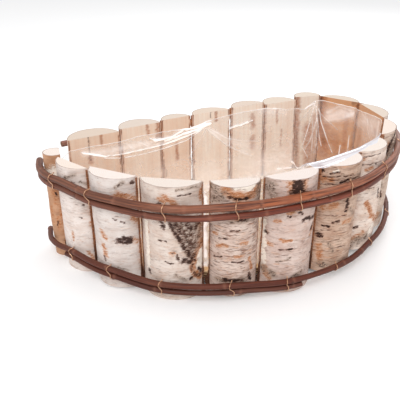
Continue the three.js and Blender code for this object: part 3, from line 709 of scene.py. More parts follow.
def use_group(tree, group, inputs):
    """Places a node group in a tree and gives its outputs."""
    return node(tree, "Group", inputs, node_tree=group).outputs


def mark_channels(tree):
    """The four masks of the marks attribute: dark, rust (on the logs also painted shade), bare and
    moss.
    """
    marks = node(tree, "Attribute", {}, attribute_name="marks")
    parts = node(tree, "SeparateColor", {"Color": marks.outputs["Color"]}).outputs
    return parts[0], parts[1], parts[2], marks.outputs["Alpha"]


def grain_place(tree):
    """The place in the piece's own straightened frame, in metres."""
    return node(tree, "Attribute", {}, attribute_name="grain").outputs["Vector"]


def bumped(tree, height, distance):
    """The way a surface faces when a height of 1 stands out by a distance."""
    inputs = {"Height": height, "Distance": distance, "Strength": 1.0}
    return node(tree, "Bump", inputs).outputs[0]


def finish_surface(tree, color, roughness, height, distance, specular=0.3):
    """A Principled surface with a colour, a roughness and a bump from a height."""
    principled(tree, {
        "Base Color": color,
        "Roughness": roughness,
        "Specular IOR Level": specular,
        "Normal": bumped(tree, height, distance),
    })


RUST_BARK, RUST_LIGHT, RUST_STAIN_AND_SHADE = 0x8E4E2A, 0xCB8654, 0xCF9A74
KNOT_BLACK, KNOT_BROWN = 0x2E1A14, 0x7E4A34
MOSS_DARK, MOSS_MIDDLE, MOSS_LIGHT = 0x4B372C, 0xA68D7B, 0xE9DED2
BARE_WOOD, BLUSH, FLECK = 0xF8EBDD, 0xD9A684, 0x6B4636
DASH_BROWN, FINE_BROWN, WRINKLE_BROWN = 0x7A5140, 0xB08470, 0x8A5F4C


def bark_material(name, paper, shade, lenticel_amount):
    """Birch bark: clouded paper, lenticels, orange under-bark, moss and black knots, and painted
    shade towards the log's edges.

    A mark's mask is pushed up and down by noise and then cut off, which tears its edge,
    and a lower cut-off gives the stain round it.
    """
    material, tree = blank_material(name)
    place = grain_place(tree)
    dark, rust_and_shade, bare, moss = mark_channels(tree)
    clouds = stretched_noise(tree, place, (45, 45, 60), 4.0, 0.6, 0.4)
    bands = stretched_noise(tree, place, (60, 60, 420), 3.0, 0.6, 0.2)
    speckle = stretched_noise(tree, place, (1100, 1100, 1500), 2.0, 0.6)
    tear = stretched_noise(tree, place, (210, 210, 820), 6.0, 0.78, 0.6)
    blush = stretched_noise(tree, place, (85, 85, 300), 4.0, 0.65, 0.3)
    crowd = stretched_noise(tree, place, (52, 52, 90), 3.0, 0.6, 0.4)
    fleck = stretched_noise(tree, place, (300, 300, 900), 5.0, 0.75, 0.4)
    lichen = stretched_noise(tree, place, (330, 330, 560), 5.0, 0.75, 0.8)
    dashes = use_group(tree, lenticels, {"Place": place, "Amount": lenticel_amount})
    torn = times(tree, minus(tree, tear, 0.5), 5.2)
    torn_rust_and_shade = plus(tree, rust_and_shade, torn)
    rust_color = painted(tree, linear(RUST_BARK), [(speckle, 0.35, 0.65, RUST_LIGHT)])
    core_share = remap(tree, dark, 0.6, 1.0, 1.15, 0.45)
    near_dark = times(tree, dark, 4.0, clamp=True)
    dark_tear = times(tree, times(tree, torn, core_share), near_dark)
    dark_torn = plus(tree, times(tree, dark, 1.45), dark_tear)
    color = painted(tree, linear(paper), [
        (clouds, 0.42, 0.72, 0.0, 0.75, shade),
        (bands, 0.5, 0.75, 0.0, 0.45, shade),
        (blush, 0.55, 0.72, 0.0, 0.2 + 0.6 * lenticel_amount, BLUSH),
        (dashes["Fine"], 0.16 + 0.3 * lenticel_amount, FINE_BROWN),
        (dashes["Dashes"], 0.8, DASH_BROWN),
        (dashes["Wrinkles"], 0.12 + 0.55 * lenticel_amount, WRINKLE_BROWN),
        (plus(tree, fleck, times(tree, crowd, 0.35)),
         0.84 - 0.05 * lenticel_amount, 0.9, 0.0, 0.85, FLECK),
        # The rust mask brings the stain colour and, where it is strong, rust and brown. Towards a
        # log's edges these coats are painted shade.
        (plus(tree, rust_and_shade, times(tree, torn, 0.35)), 0.12, 0.9, 0.0, 0.7, RUST_STAIN_AND_SHADE),
        (torn_rust_and_shade, 0.6, 1.0, 0.0, 0.92, rust_color),
        (torn_rust_and_shade, 1.35, 1.7, 0.0, 0.8, KNOT_BROWN),
        (plus(tree, bare, times(tree, torn, 0.5)), 0.4, 0.6, BARE_WOOD),
        (moss, 0.05, 0.8, 0.0, 0.6, MOSS_MIDDLE),
        (minus(tree, times(tree, moss, 0.3), lichen), -0.12, -0.06, 0.0, 0.8, MOSS_LIGHT),
        (plus(tree, lichen, times(tree, moss, 0.34)), 0.78, 0.88, 0.0, 0.9, MOSS_DARK),
        (dark_torn, 0.35, 0.85, 0.0, 0.75, KNOT_BROWN),
        (dark_torn, 0.85, 1.15, 0.0, 0.94, KNOT_BLACK),
    ])
    height = minus(tree, bands, times(tree, dashes["Dashes"], 0.7))
    height = minus(tree, height, times(tree, dashes["Wrinkles"], 0.5))
    height = plus(tree, height, times(tree, speckle, 0.35))
    height = minus(tree, height, remap(tree, dark_torn, 0.6, 1.0, 0.0, 0.8))
    roughness = remap(tree, clouds, 0.3, 0.7, 0.55, 0.8)
    finish_surface(tree, color, roughness, height, 0.4 * mm)
    return material


def sawn_material(name, tone):
    """Sawn birch: a pale tone with warmer streaks, fine fibres and brown edges."""
    material, tree = blank_material(name)
    dark, rust_and_shade, _, _ = mark_channels(tree)
    grain = use_group(tree, wood_grain, {"Place": grain_place(tree)})
    warm = blend(tree, 0.7, linear(tone), linear(0xD79B6C))
    color = painted(tree, linear(tone), [
        (grain["Streaks"], 0.44, warm),
        (grain["Fibres"], 0.13, 0xB4835C),
        (rust_and_shade, 0.78, 0xA5623A),
        (dark, 0.9, 0x54291C),
    ])
    finish_surface(tree, color, 0.72, grain["Height"], 0.22 * mm)
    return material


def end_material(name, tone):
    """Sawn log end: pale wood with faint year rings round the pith and a bark rim."""
    material, tree = blank_material(name)
    place = grain_place(tree)
    _, rust_and_shade, _, _ = mark_channels(tree)
    rings = node(tree, "TexWave", {
        "Vector": place, "Scale": 150.0, "Distortion": 3.0, "Detail": 2.0, "Detail Scale": 0.2,
    }, wave_type="RINGS", rings_direction="Z").outputs["Fac"]
    rough_cut = stretched_noise(tree, place, (900, 300, 300), 4.0, 0.65)
    color = painted(tree, linear(tone), [
        (rings, 0.14, 0xC9A07C),
        (rough_cut, 0.5, 0.8, 0.0, 0.3, 0xD8B898),
        (rust_and_shade, 0.85, 0x6E4634),
    ])
    finish_surface(tree, color, 0.8, rough_cut, 0.25 * mm, 0.2)
    return material


lenticels = lenticel_group()
wood_grain = wood_grain_group()
logs = {}
for number, (paper, shade, lenticel_amount, face_tone, end_tone) in log_finishes.items():
    node_name = f"stave_{number:02d}"
    log = log_measure(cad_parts[node_name].data)
    logs[number] = log
    log_points, log_grain, log_masks, log_zones = log_surface(log, number)
    log_materials = [
        bark_material(f"bark_{number:02d}", paper, shade, lenticel_amount),
        sawn_material(f"sawn_{number:02d}", face_tone),
        end_material(f"end_{number:02d}", end_tone),
    ]
    log_mesh = skin(f"log_{number:02d}", log_points, log_materials, log_zones,
                    grain=log_grain, marks=log_masks)
    show(log_mesh, node_name)

# Bark edges. Where two logs meet, the brown inner bark of their split edges stands out
# ragged into the slit between them and closes part of it, most of all at the foot.
edge_row = 0.6 * mm
edge_sides = 14
edge_half_depth = 1.5 * mm
edge_set_back = 1.7 * mm
edge_ends = (1 * mm, 1.5 * mm)
edge_inset = 0.25 * mm
edge_least = 0.1 * mm
edge_draw_back = 1.2
edge_coarse, edge_fine, edge_rough = 0.9, 0.4, 0.12
edge_wander = 0.8
edge_patches = 0.24
edge_limits = (-0.3, 0.97)
# How much of each slit its two edges close half way up, at the foot and at the top, by
# the log before it, and the heights in millimetres where one goes over into the next.
edge_heights = (18, 34, 110, 117)
edge_cover = {1: (0.8, 1.4, 1.4), 2: (1.6, 1.6, 1.6), 3: (0.4, 0.5, 1.4), 4: (0.42, 0.6, 1.4),
              5: (0.9, 0.5, 1.5), 6: (1.6, 1.6, 1.6), 7: (1.5, 1.5, 1.5), 8: (0.8, 0.8, 1.4),
              9: (0.6, 1, 1), 10: (0.3, 1, 0.3), 11: (0.3, 1, 0.3), 12: (0.5, 1.2, 0.5),
              13: (-0.5, 1.2, 0.2), 14: (0.06, 0.9, -0.3), 15: (0.25, 1, 0.1),
              16: (0.2, 1, 0.1), 17: (0.1, 1, 0.1)}


def edge_surface(log, side, gap, covers, seed):
    """Points and grain places of a bark edge, as rows of closed loops.

    A loop is an ellipse about the corner of the log's flat face, edge_half_depth deep and
    as wide as the slit times the share that this edge closes. Noise makes the share
    ragged and patchy, and where it adds to one edge of the slit it takes from the other,
    so that the slit wanders. A share below zero draws the edge back into the log.
    """
    foot, top = log.foot + edge_ends[0], log.top - edge_ends[1]
    height = np.linspace(foot, top, round((top - foot) / edge_row))
    h = height / mm
    closed = np.interp(h, edge_heights, (covers[1], covers[0], covers[0], covers[2]))
    ragged = 1 + edge_coarse * cloud(h / 4.5, 0 * h + side, seed)
    ragged = ragged + edge_fine * cloud(h / 1.1, 0 * h, seed + 1)
    closed = closed * (1 + edge_wander * side * cloud(h / 14, 0 * h, seed - side))
    patches = edge_patches * cloud(h / 9, 0 * h, seed + 3)
    reach = gap * np.clip(0.5 * closed * ragged + patches, *edge_limits) + edge_least
    turn = 2 * math.pi * np.arange(edge_sides) / edge_sides
    rough = 1 + edge_rough * cloud(h[:, None] / 0.9, turn * 1.3 + side, seed + 2)
    drawn_back = edge_draw_back * np.minimum(reach, 0)
    centre = log.width / 2 - edge_inset + drawn_back[:, None]
    wide = side * (centre + np.abs(reach)[:, None] * np.cos(side * turn) * rough)
    deep = edge_set_back - edge_half_depth * np.sin(side * turn) * side * rough
    out = deep + ((height - log.foot) / (log.top - log.foot))[:, None] * log.lean
    plan = log.middle + wide[..., None] * log.along + out[..., None] * log.outward
    level = np.broadcast_to(height[:, None], wide.shape)
    points = np.concatenate([plan, level[..., None]], axis=-1)
    return points, np.stack([wide, deep, level], axis=-1)


def edge_material():
    """Inner bark: red-brown, cracked across into darker and paler flakes. Near the foot of
    the log it is painted dark, as shade at the foot of the slit."""
    material, tree = blank_material("bark_edge")
    place = grain_place(tree)
    flakes = stretched_noise(tree, place, (300, 300, 620), 4.0, 0.7, 0.6)
    grit = stretched_noise(tree, place, (1500, 1500, 2100), 2.0, 0.6)
    height = node(tree, "SeparateXYZ", {"Vector": place}).outputs["Z"]
    color = painted(tree, linear(0x5A2E20), [
        (flakes, 0.36, 0.6, 0xAE7450),
        (grit, 0.5, 0.7, 0.0, 0.75, 0xD2A98C),
        # Painted shade: near black up to 20 mm, fading out by 45 mm, where the foot of the slit
        # lies in shadow.
        (height, 0.02, 0.045, 0.85, 0.0, 0x3A2018),
    ])
    finish_surface(tree, color, 0.85, flakes, 0.5 * mm, 0.15)
    return material


bark_edge = edge_material()
for number, covers in edge_cover.items():
    before, after = logs[number], logs[number + 1]
    slit = float(np.linalg.norm(before.middle + before.along * before.width / 2
                                - after.middle + after.along * after.width / 2))
    for log, side, edge_name in ((before, 1, "after"), (after, -1, "before")):
        seed = 500 + 4 * number + side
        edge_rows, edge_grain = edge_surface(log, side, slit, covers, seed)
        edge_mesh = skin(f"edge_{number + (side < 0):02d}_{edge_name}", edge_rows,
                         [bark_edge], grain=edge_grain)
        show(edge_mesh)

# Willow rods. Two thin red-brown withies are bent round the front at the top and two at
# the foot, and one lies along the back at each height. Their bark is drawn into fine
# lines, with leaf scars, and in front the lower rod of a pair sags from the upper one.
rod_step = 1.2 * mm
rod_sides = 28
rod_sway = 0.3 * mm
rod_line_relief = 0.16 * mm
rod_cuts = 150
rod_sag = {"rod_top_front_lower": 1.7 * mm, "rod_foot_front_lower": 0.5 * mm}
rod_end_shares = np.array([0.03, 0.1, 0.35, 0.7])
# Leaf scars, in millimetres along the rod and in radians round it: where the first may be,
# how far apart they are, how far all of them and each of them may be shifted, and how far
# round they may sit. Then the size and rise of a bud, and of the collar just before it.
scar_first, scar_spacing = (15, 45), 62
scars_shift, scar_shift, scar_turns = (-14, 14), (-16, 16), (-1.2, 1.6)
bud_length, bud_width, bud_rise = 2.0, 0.42, 0.5 * mm
collar_length, collar_place, collar_rise = 1.6, 1.5, 0.16 * mm
FRONT, BACK = math.radians(-90), math.radians(90)
# Side, tone, how weathered the rod is, and how grey it has gone at its right and left end.
rod_finishes = {
    "rod_top_front_upper": (FRONT, 0xA65E3C, 0.36, 0.95, 0.75),
    "rod_top_front_lower": (FRONT, 0x843F2C, 0.14, 0.6, 0.6),
    "rod_foot_front_upper": (FRONT, 0x602A18, 0.08, 0.1, 0.1),
    "rod_foot_front_lower": (FRONT, 0x5A2716, 0.06, 0.1, 0.1),
    "rod_top_back": (BACK, 0x935441, 0.3, 0.5, 0.5),
    "rod_foot_back": (BACK, 0x733A26, 0.15, 0.3, 0.3),
}


def line_lengths(line):
    """Length along a line of points to each of them."""
    return np.concatenate([[0], np.cumsum(np.linalg.norm(np.diff(line, axis=0), axis=1))])


def at_lengths(line, lengths, places):
    """Points of a line at places along it, by its lengths."""
    return np.stack([np.interp(places, lengths, part) for part in line.T], axis=-1)


def evenly(line, step):
    """A line of points, resampled so that its points are about a step apart."""
    lengths = line_lengths(line)
    places = np.linspace(0, lengths[-1], max(2, round(lengths[-1] / step)))
    return at_lengths(line, lengths, places)


def rod_line(mesh, towards):
    """Centre line and radius of a bent rod, read from its node.

    Upright half planes from the planter's middle fan out over the rod's reach and cut its
    edges. Half way between the nearest and furthest cuts is the centre there, and half
    their height is the radius. The line runs clockwise, seen from above.
    """
    edges = edge_points(mesh)
    turns = np.arctan2(edges[..., 1], edges[..., 0]) - towards
    turns = (turns + math.pi) % (2 * math.pi) - math.pi
    fan = np.linspace(turns.max(), turns.min(), rod_cuts + 2)[1:-1] + towards
    ray = np.stack([np.cos(fan), np.sin(fan)])
    side = edges[..., :2] @ np.stack([-ray[1], ray[0]])
    ahead = (edges[..., :2] @ ray).mean(axis=1) > 0
    crossed = (side[:, 0] * side[:, 1] < 0) & ahead
    way = side[:, 0] / np.where(crossed, side[:, 0] - side[:, 1], 1)
    cut = edges[:, 0, None] + way[..., None] * (edges[:, 1] - edges[:, 0])[:, None]
    reach = np.where(crossed, np.hypot(cut[..., 0], cut[..., 1]), np.nan)
    height = np.where(crossed, cut[..., 2], np.nan)
    middle = (np.nanmin(reach, axis=0) + np.nanmax(reach, axis=0)) / 2
    level = (np.nanmin(height, axis=0) + np.nanmax(height, axis=0)) / 2
    radius = float(np.median(np.nanmax(height, axis=0) - np.nanmin(height, axis=0))) / 2
    line = np.stack([middle * ray[0], middle * ray[1], level], axis=-1)
    line[0] = 2 * line[1] - line[2]
    line[-1] = 2 * line[-2] - line[-3]
    return evenly(line, rod_step), radius


def ways_along(line):
    """Three unit ways at each point of a line: along it, level and outward, and upward."""
    along = np.gradient(line, axis=0)
    along /= np.linalg.norm(along, axis=1, keepdims=True)
    outward = np.cross((0, 0, 1), along)
    outward /= np.linalg.norm(outward, axis=1, keepdims=True)
    return along, outward, np.cross(along, outward)


def swept(line, sizes, turn_angles, end_shares, ways=None):
    """Loops of points round a line: its point plus size times the outward way turned by
    each angle. The first and last loop are repeated, smaller each time, to close the ends.
    Gives the points, their grain places and how much each loop shrinks."""
    _, outward, upward = ways or ways_along(line)
    rows = np.arange(len(line))
    last = np.full(len(end_shares), len(line) - 1)
    rows = np.concatenate([0 * last, rows, last])
    shrink = np.concatenate([end_shares[::-1], np.zeros(len(line)), end_shares])
    reach = (sizes[rows] * (1 - shrink)[:, None])[..., None]
    ring = (outward[rows, None] * np.cos(turn_angles)[None, :, None]
            + upward[rows, None] * np.sin(turn_angles)[None, :, None])
    far = np.broadcast_to(line_lengths(line)[rows, None], reach.shape[:2])
    grain = np.stack([far, reach[..., 0] * np.cos(turn_angles),
                      reach[..., 0] * np.sin(turn_angles)], axis=-1)
    return line[rows, None] + reach * ring, grain, shrink


def rod_surface(line, radius, seed, sag):
    """Points, grain places, masks and zones of a rod, as rows of closed loops.

    The radius swells and shrinks slowly, and noise that is long along the rod and narrow
    round it makes the drawn lines of the bark. Each leaf scar is a small round swelling.
    """
    dice = np.random.default_rng(seed)
    length = np.arange(len(line)) * rod_step
    _, outward, upward = ways_along(line)
    sway_out = ripple(length / (90 * mm), 0 * length, seed)
    sway_up = ripple(length / (70 * mm), 0 * length, seed + 1)
    line = line + rod_sway * (sway_out[:, None] * outward + sway_up[:, None] * upward)
    line[:, 2] -= sag * ease(3 * np.sin(math.pi * length / length[-1]) - 1.6)
    angles = 2 * math.pi * np.arange(rod_sides) / rod_sides
    s, turn = np.meshgrid(length / mm, angles, indexing="ij")
    lines = cloud(s / 60 + 2.4 * np.cos(turn), s / 75 + 2.4 * np.sin(turn), seed + 2)
    size = radius * (0.97 + 0.035 * ripple(s / 45, 0 * s, seed + 3)) + rod_line_relief * lines
    masks = np.zeros((*s.shape, 4))
    scar_places = np.arange(dice.uniform(*scar_first), s.max(), scar_spacing)
    for scar_place in scar_places + dice.uniform(*scars_shift, 1):
        scar_turn = dice.uniform(*scar_turns)
        off = s - (scar_place + dice.uniform(*scar_shift))
        beside = (turn - scar_turn + math.pi) % (2 * math.pi) - math.pi
        bud = np.exp(-(off / bud_length) ** 2 - (beside / bud_width) ** 2)
        collar = np.exp(-((off + collar_place) / collar_length) ** 2)
        size = size + bud_rise * bud + collar_rise * collar
        masks[..., DARK] = np.maximum(masks[..., DARK], bud**2)
        masks[..., RUST_AND_SHADE] = np.maximum(masks[..., RUST_AND_SHADE], collar * 0.7)
    scuffs = cloud(s / 34 + 1.7 * np.cos(turn), s / 50 + 1.7 * np.sin(turn), seed + 4)
    masks[..., MOSS] = ease((scuffs - 0.18) / 0.3)
    points, grain, shrink = swept(line, size, angles, rod_end_shares)
    pad = len(rod_end_shares)
    masks = np.pad(masks, ((pad, pad), (0, 0), (0, 0)), mode="edge")
    masks[shrink > 0.05] = (0, 0, 1, 0)
    ends = shrink > 0
    zones = np.where(ends[1:] & ends[:-1], 1, 0)[:, None].repeat(rod_sides, axis=1)
    return points, grain, masks, zones, line


def willow_material(name, tone, greyness, whole, grey_first, grey_last):
    """Willow bark: drawn lines of darker and paler brown, grey where it is weathered, and
    mauve-grey towards its first end and dark grey-brown towards its last."""
    material, tree = blank_material(name)
    place = grain_place(tree)
    dark, rust_and_shade, bare, moss = mark_channels(tree)
    long_lines = stretched_noise(tree, place, (16, 620, 620), 4.0, 0.62, 0.2)
    fine_lines = stretched_noise(tree, place, (60, 2100, 2100), 3.0, 0.6)
    patches = stretched_noise(tree, place, (34, 120, 120), 3.0, 0.55, 0.3)
    length = node(tree, "SeparateXYZ", {"Vector": place}).outputs["X"]
    color = painted(tree, linear(0x4A2016), [
        (long_lines, 0.36, 0.6, tone),
        (patches, 0.42, 0.7, 0.0, greyness, 0xB58670),
        (moss, 1.1 * greyness, 0xB97A5C),
        (length, 0.25 * whole, 0.44 * whole, grey_first, 0.0, 0x9E786C),
        (length, 0.62 * whole, 0.84 * whole, 0.0, grey_last, 0x6E4838),
        (fine_lines, 0.5, 0.7, 0.0, 0.55, 0x3E1E16),
        (long_lines, 0.4, 0.5, 0.35, 0.0, 0x3E1E16),
        (rust_and_shade, 0.5, 0x9B6A55),
        (dark, 0.85, 0x2E1712),
        (bare, 1.0, 0xC79F86),
    ])
    height = plus(tree, long_lines, times(tree, fine_lines, 0.5))
    roughness = remap(tree, patches, 0.3, 0.7, 0.45, 0.65)
    finish_surface(tree, color, roughness, height, 0.3 * mm)
    return material


rod_lines = {}
for seed, (node_name, finish) in enumerate(rod_finishes.items(), 300):
    towards, tone, greyness, grey_first, grey_last = finish
    rod_centre, rod_radius = rod_line(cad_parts[node_name].data, towards)
    rod_points, rod_grain, rod_masks, rod_zones, rod_centre = rod_surface(
        rod_centre, rod_radius, seed, rod_sag.get(node_name, 0))
    rod_lines[node_name] = (rod_centre, rod_radius)
    rod_finish = willow_material(node_name.replace("rod", "willow"), tone, greyness,
                                 len(rod_centre) * rod_step, grey_first, grey_last)
    cut_tone = 0x6B4636 if towards == BACK else 0xC9A48C
    rod_cut = end_material(node_name.replace("rod", "willow_cut"), cut_tone)
    rod_mesh = skin(node_name.replace("rod", "withy"), rod_points, [rod_finish, rod_cut],
                    rod_zones, grain=rod_grain, marks=rod_masks)
    show(rod_mesh, node_name)

# Ties. A short length of soft copper-coloured wire at nearly every log comes out of it
# over the rods, crosses the upper one, slants through the groove, crosses the lower one
# and goes back into the log below. Along the back each tie holds a single rod.
wire_radius = 0.48 * mm
wire_step = 0.4 * mm
wire_hold = 0.55 * mm
wire_sides = 9
wire_end_shares = np.array([0.12, 0.5])
wire_curve_steps = 12
wire_slant = (0.3, 0.2, 1.0)
wire_uneven = 0.25
single_tie_height = 16 * mm
upper_bend = [(1.9, 108, -1.0), (0, 92, -0.2), (0, 62, 0.8), (0, 30, 1.4), (0, 0, 1.6),
              (0, -34, 1.3)]
lower_bend = [(0, 34, -1.3), (0, 0, -1.6), (0, -30, -1.5), (0, -62, -0.9), (0, -92, -0.2),
              (1.9, -112, 0.6)]
single_bend = [(1.9, 108, -2.2), (0, 88, -1.2), (0, 45, -0.4), (0, 0, 0.2), (0, -45, 0.8),
               (0, -88, 1.4), (1.9, -112, 2.2)]


def curve_through(places):
    """A smooth line through places: between each two, a cubic with the slopes that the
    places on either side give it."""
    places = np.array(places)
    before, after = 2 * places[:1] - places[1:2], 2 * places[-1:] - places[-2:-1]
    padded = np.concatenate([before, places, after])
    a, b, c, d = (padded[i:len(padded) - 3 + i, None] for i in range(4))
    t = np.linspace(0, 1, wire_curve_steps, endpoint=False)[None, :, None]
    line = b + 0.5 * t * (c - a + t * (2 * a - 5 * b + 4 * c - d + t * (3 * (b - c) + d - a)))
    return np.concatenate([line.reshape(-1, 3), places[-1:]])


def wire_places(rod_name, centre, bend, sense):
    """Places on a wire's way round one rod, from (extra reach, angle, shift) in
    millimetres and degrees, where angle 0 is the rod's outermost side and 90 its top."""
    line, radius = rod_lines[rod_name]
    nearest = int(np.linalg.norm(line[:, :2] - centre[:2], axis=1).argmin())
    along, outward, upward = (way[nearest] for way in ways_along(line))
    places = []
    for extra, angle, shift in bend:
        reach = radius + wire_hold + extra * mm
        turned = math.radians(angle)
        places.append(line[nearest] + reach * math.cos(turned) * outward
                      + reach * math.sin(turned) * upward + sense * shift * mm * along)
    return places


def wire_material():
    """Soft wire: copper colour that dulls and darkens in patches along it."""
    material, tree = blank_material("binding_wire")
    place = grain_place(tree)
    tarnish = stretched_noise(tree, place, (240, 900, 900), 3.0, 0.6, 0.4)
    drawn = stretched_noise(tree, place, (200, 5200, 5200), 2.0, 0.5)
    principled(tree, {
        "Base Color": painted(tree, linear(0xE6BA98), [(tarnish, 0.38, 0.66, 0x9A6A50)]),
        "Roughness": remap(tree, tarnish, 0.35, 0.7, 0.24, 0.5),
        "Metallic": remap(tree, tarnish, 0.5, 0.8, 0.95, 0.55),
        "Normal": bumped(tree, drawn, 0.05 * mm),
    })
    return material


def wire_mesh(name, line, finish):
    """A round wire along a line. The outward way of the sweep is square to the line and
    to a slanting direction that no wire runs along."""
    along = np.gradient(line, axis=0)
    along /= np.linalg.norm(along, axis=1, keepdims=True)
    side = np.cross(along, wire_slant)
    side /= np.linalg.norm(side, axis=1, keepdims=True)
    angles = 2 * math.pi * np.arange(wire_sides) / wire_sides
    sizes = np.full((len(line), wire_sides), wire_radius)
    ways = (along, side, np.cross(along, side))
    points, grain, _ = swept(line, sizes, angles, wire_end_shares, ways)
    return skin(name, points, [finish], grain=grain)


binding_wire = wire_material()
for node_name in sorted(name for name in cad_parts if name.startswith("tie_")):
    level, number = node_name.split("_")[1:]
    low, high = (np.array(corner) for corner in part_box(node_name))
    if int(number) <= back_logs:
        ways_round = {"back": single_bend}
    elif high[2] - low[2] < single_tie_height:
        ways_round = {"front_upper": single_bend}
    else:
        ways_round = {"front_upper": upper_bend, "front_lower": lower_bend}
    sense = 1 - wire_uneven * scattered(int(number), len(level), 11)
    bend_places = []
    for rod_end, bend in ways_round.items():
        bend_places += wire_places(f"rod_{level}_{rod_end}", (low + high) / 2, bend, sense)
    wire_line = evenly(curve_through(bend_places), wire_step)
    tie_mesh = wire_mesh(node_name.replace("tie", "wire"), wire_line, binding_wire)
    show(tie_mesh, node_name)

# Base board. A sheet of birch plywood fits inside the ring of logs, a little above the
# floor, and carries the soil. Its own node has the right shape, and only the faces are
# dressed: long grain above and below, and the layers of veneer at the edge.
ply_pitch = 1.5 * mm


def plywood_material():
    """Birch plywood: flat grain on the faces, and light and dark veneers at the edge."""
    material, tree = blank_material("birch_plywood")
    place = node(tree, "TexCoord", {}).outputs["Object"]
    grain = stretched_noise(tree, place, (9, 150, 150), 4.0, 0.6, 0.8)
    pores = stretched_noise(tree, place, (70, 1800, 1800), 3.0, 0.6)
    height = node(tree, "SeparateXYZ", {"Vector": place}).outputs["Z"]
    layer = maths(tree, "FRACT", maths(tree, "DIVIDE", height, 2 * ply_pitch), 0.0)
    veneers = blend(tree, maths(tree, "GREATER_THAN", layer, 0.5),
                    linear(0xC9AB88), linear(0x76543A))
    facing = node(tree, "NewGeometry", {}).outputs["Normal"]
    upright = node(tree, "SeparateXYZ", {"Vector": facing}).outputs["Z"]
    on_edge = maths(tree, "LESS_THAN", maths(tree, "ABSOLUTE", upright, 0.0), 0.5)
    color = painted(tree, linear(0xDCC09A), [
        (grain, 0.35, 0.7, 0xC29A6C),
        (pores, 0.55, 0.8, 0.0, 0.4, 0x9A734C),
        (on_edge, 1.0, veneers),
    ])
    finish_surface(tree, color, 0.7, pores, 0.15 * mm)
    return material


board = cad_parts["base_board"]
board.material_slots[0].material = plywood_material()

# Film liner. A bag of clear plastic film lines the planter: it is held to the sawn faces
# a little below the rim, hangs in folds in between, laps over the rim at the front right
# and lies loose on the board.
film_columns = 800
film_wall_rows = 96
film_floor_rows = 24
film_dense_share = 0.22
film_gap = 0.9 * mm
film_round = 8 * mm
film_lift = 0.5 * mm
film_tone = (0.96, 0.965, 0.98, 1)
film_lap_tone = (0.68, 0.69, 0.77, 1)
# Shape, in millimetres: slack film billows in, and a fold stands out by its half width,
# less if it is thin. The film is held round each anchor and near the rim.
film_billow = 2.6
film_fold_rise = 1.3
film_full_fold = 1.5
film_ridge_width = 2.2
film_anchor_hold = 26
film_rim_hold = 4
film_waver = 0.5
film_lap_fade = 2
floor_slow_rise, floor_fine_rise = 3.2, 0.4
# Looks: the half width and strength of the hem, which is whiter and glows a little as a
# painted highlight, how strong the net of fine creases and the floor's creases are, and
# the low haze, up to a height and as far as a place on log 7, which also glows a little
# as painted light.
film_hem, film_hem_strength = 0.7, 0.75
film_net_strength, floor_crease_strength = 0.1, 0.3
film_haze_height, film_haze_fade = 88, 55
film_clear_from, film_clear_fade = (7, -14), 12
# By these powers the rows crowd a little towards the foot of the wall and the middle of
# the floor, and by this share the floor's rows draw in.
film_wall_power, film_floor_power, film_floor_reach = 0.9, 0.85, 0.99
# Lap, in millimetres: above the rim the film turns outwards. It rises a little everywhere,
# and more within a reach round the middle of the flap, a place on log 12. Then it sinks to
# its rest on the ends of the logs.
film_rim = 130.2
film_rim_rise = 1.3
film_rest = 0.4
flap_middle = (12, 2)
flap_reach = 66
flap_fade = 24
flap_rise = 6.5
flap_sink = 0.7
# The upper edge of the film, through places (log, across, height).
film_edge = [
    (1, -30, 109.5), (1, 0, 110), (1, 31, 109), (2, 0, 112), (3, -18, 112), (3, 18, 111.5),
    (4, -9, 115.5), (4, 26, 119), (5, 11, 120), (6, -24, 120), (6, 7, 114), (7, -5, 109),
    (7, 9, 119), (8, -20, 120), (8, 0, 119), (8, 22, 117), (9, -2, 122), (9, 30, 125),
    (10, 0, 124), (10, 20, 127), (11, -25, 133), (11, 0, 139), (11, 20, 142), (12, -22, 144),
    (12, 0, 147), (12, 22, 150), (13, -27, 152), (13, -20, 147), (13, -14, 133), (13, -7, 127),
    (13, 10, 122), (13, 25, 117), (14, 0, 113), (15, 0, 110), (16, 0, 109), (17, 0, 109),
    (18, 0, 110),
]
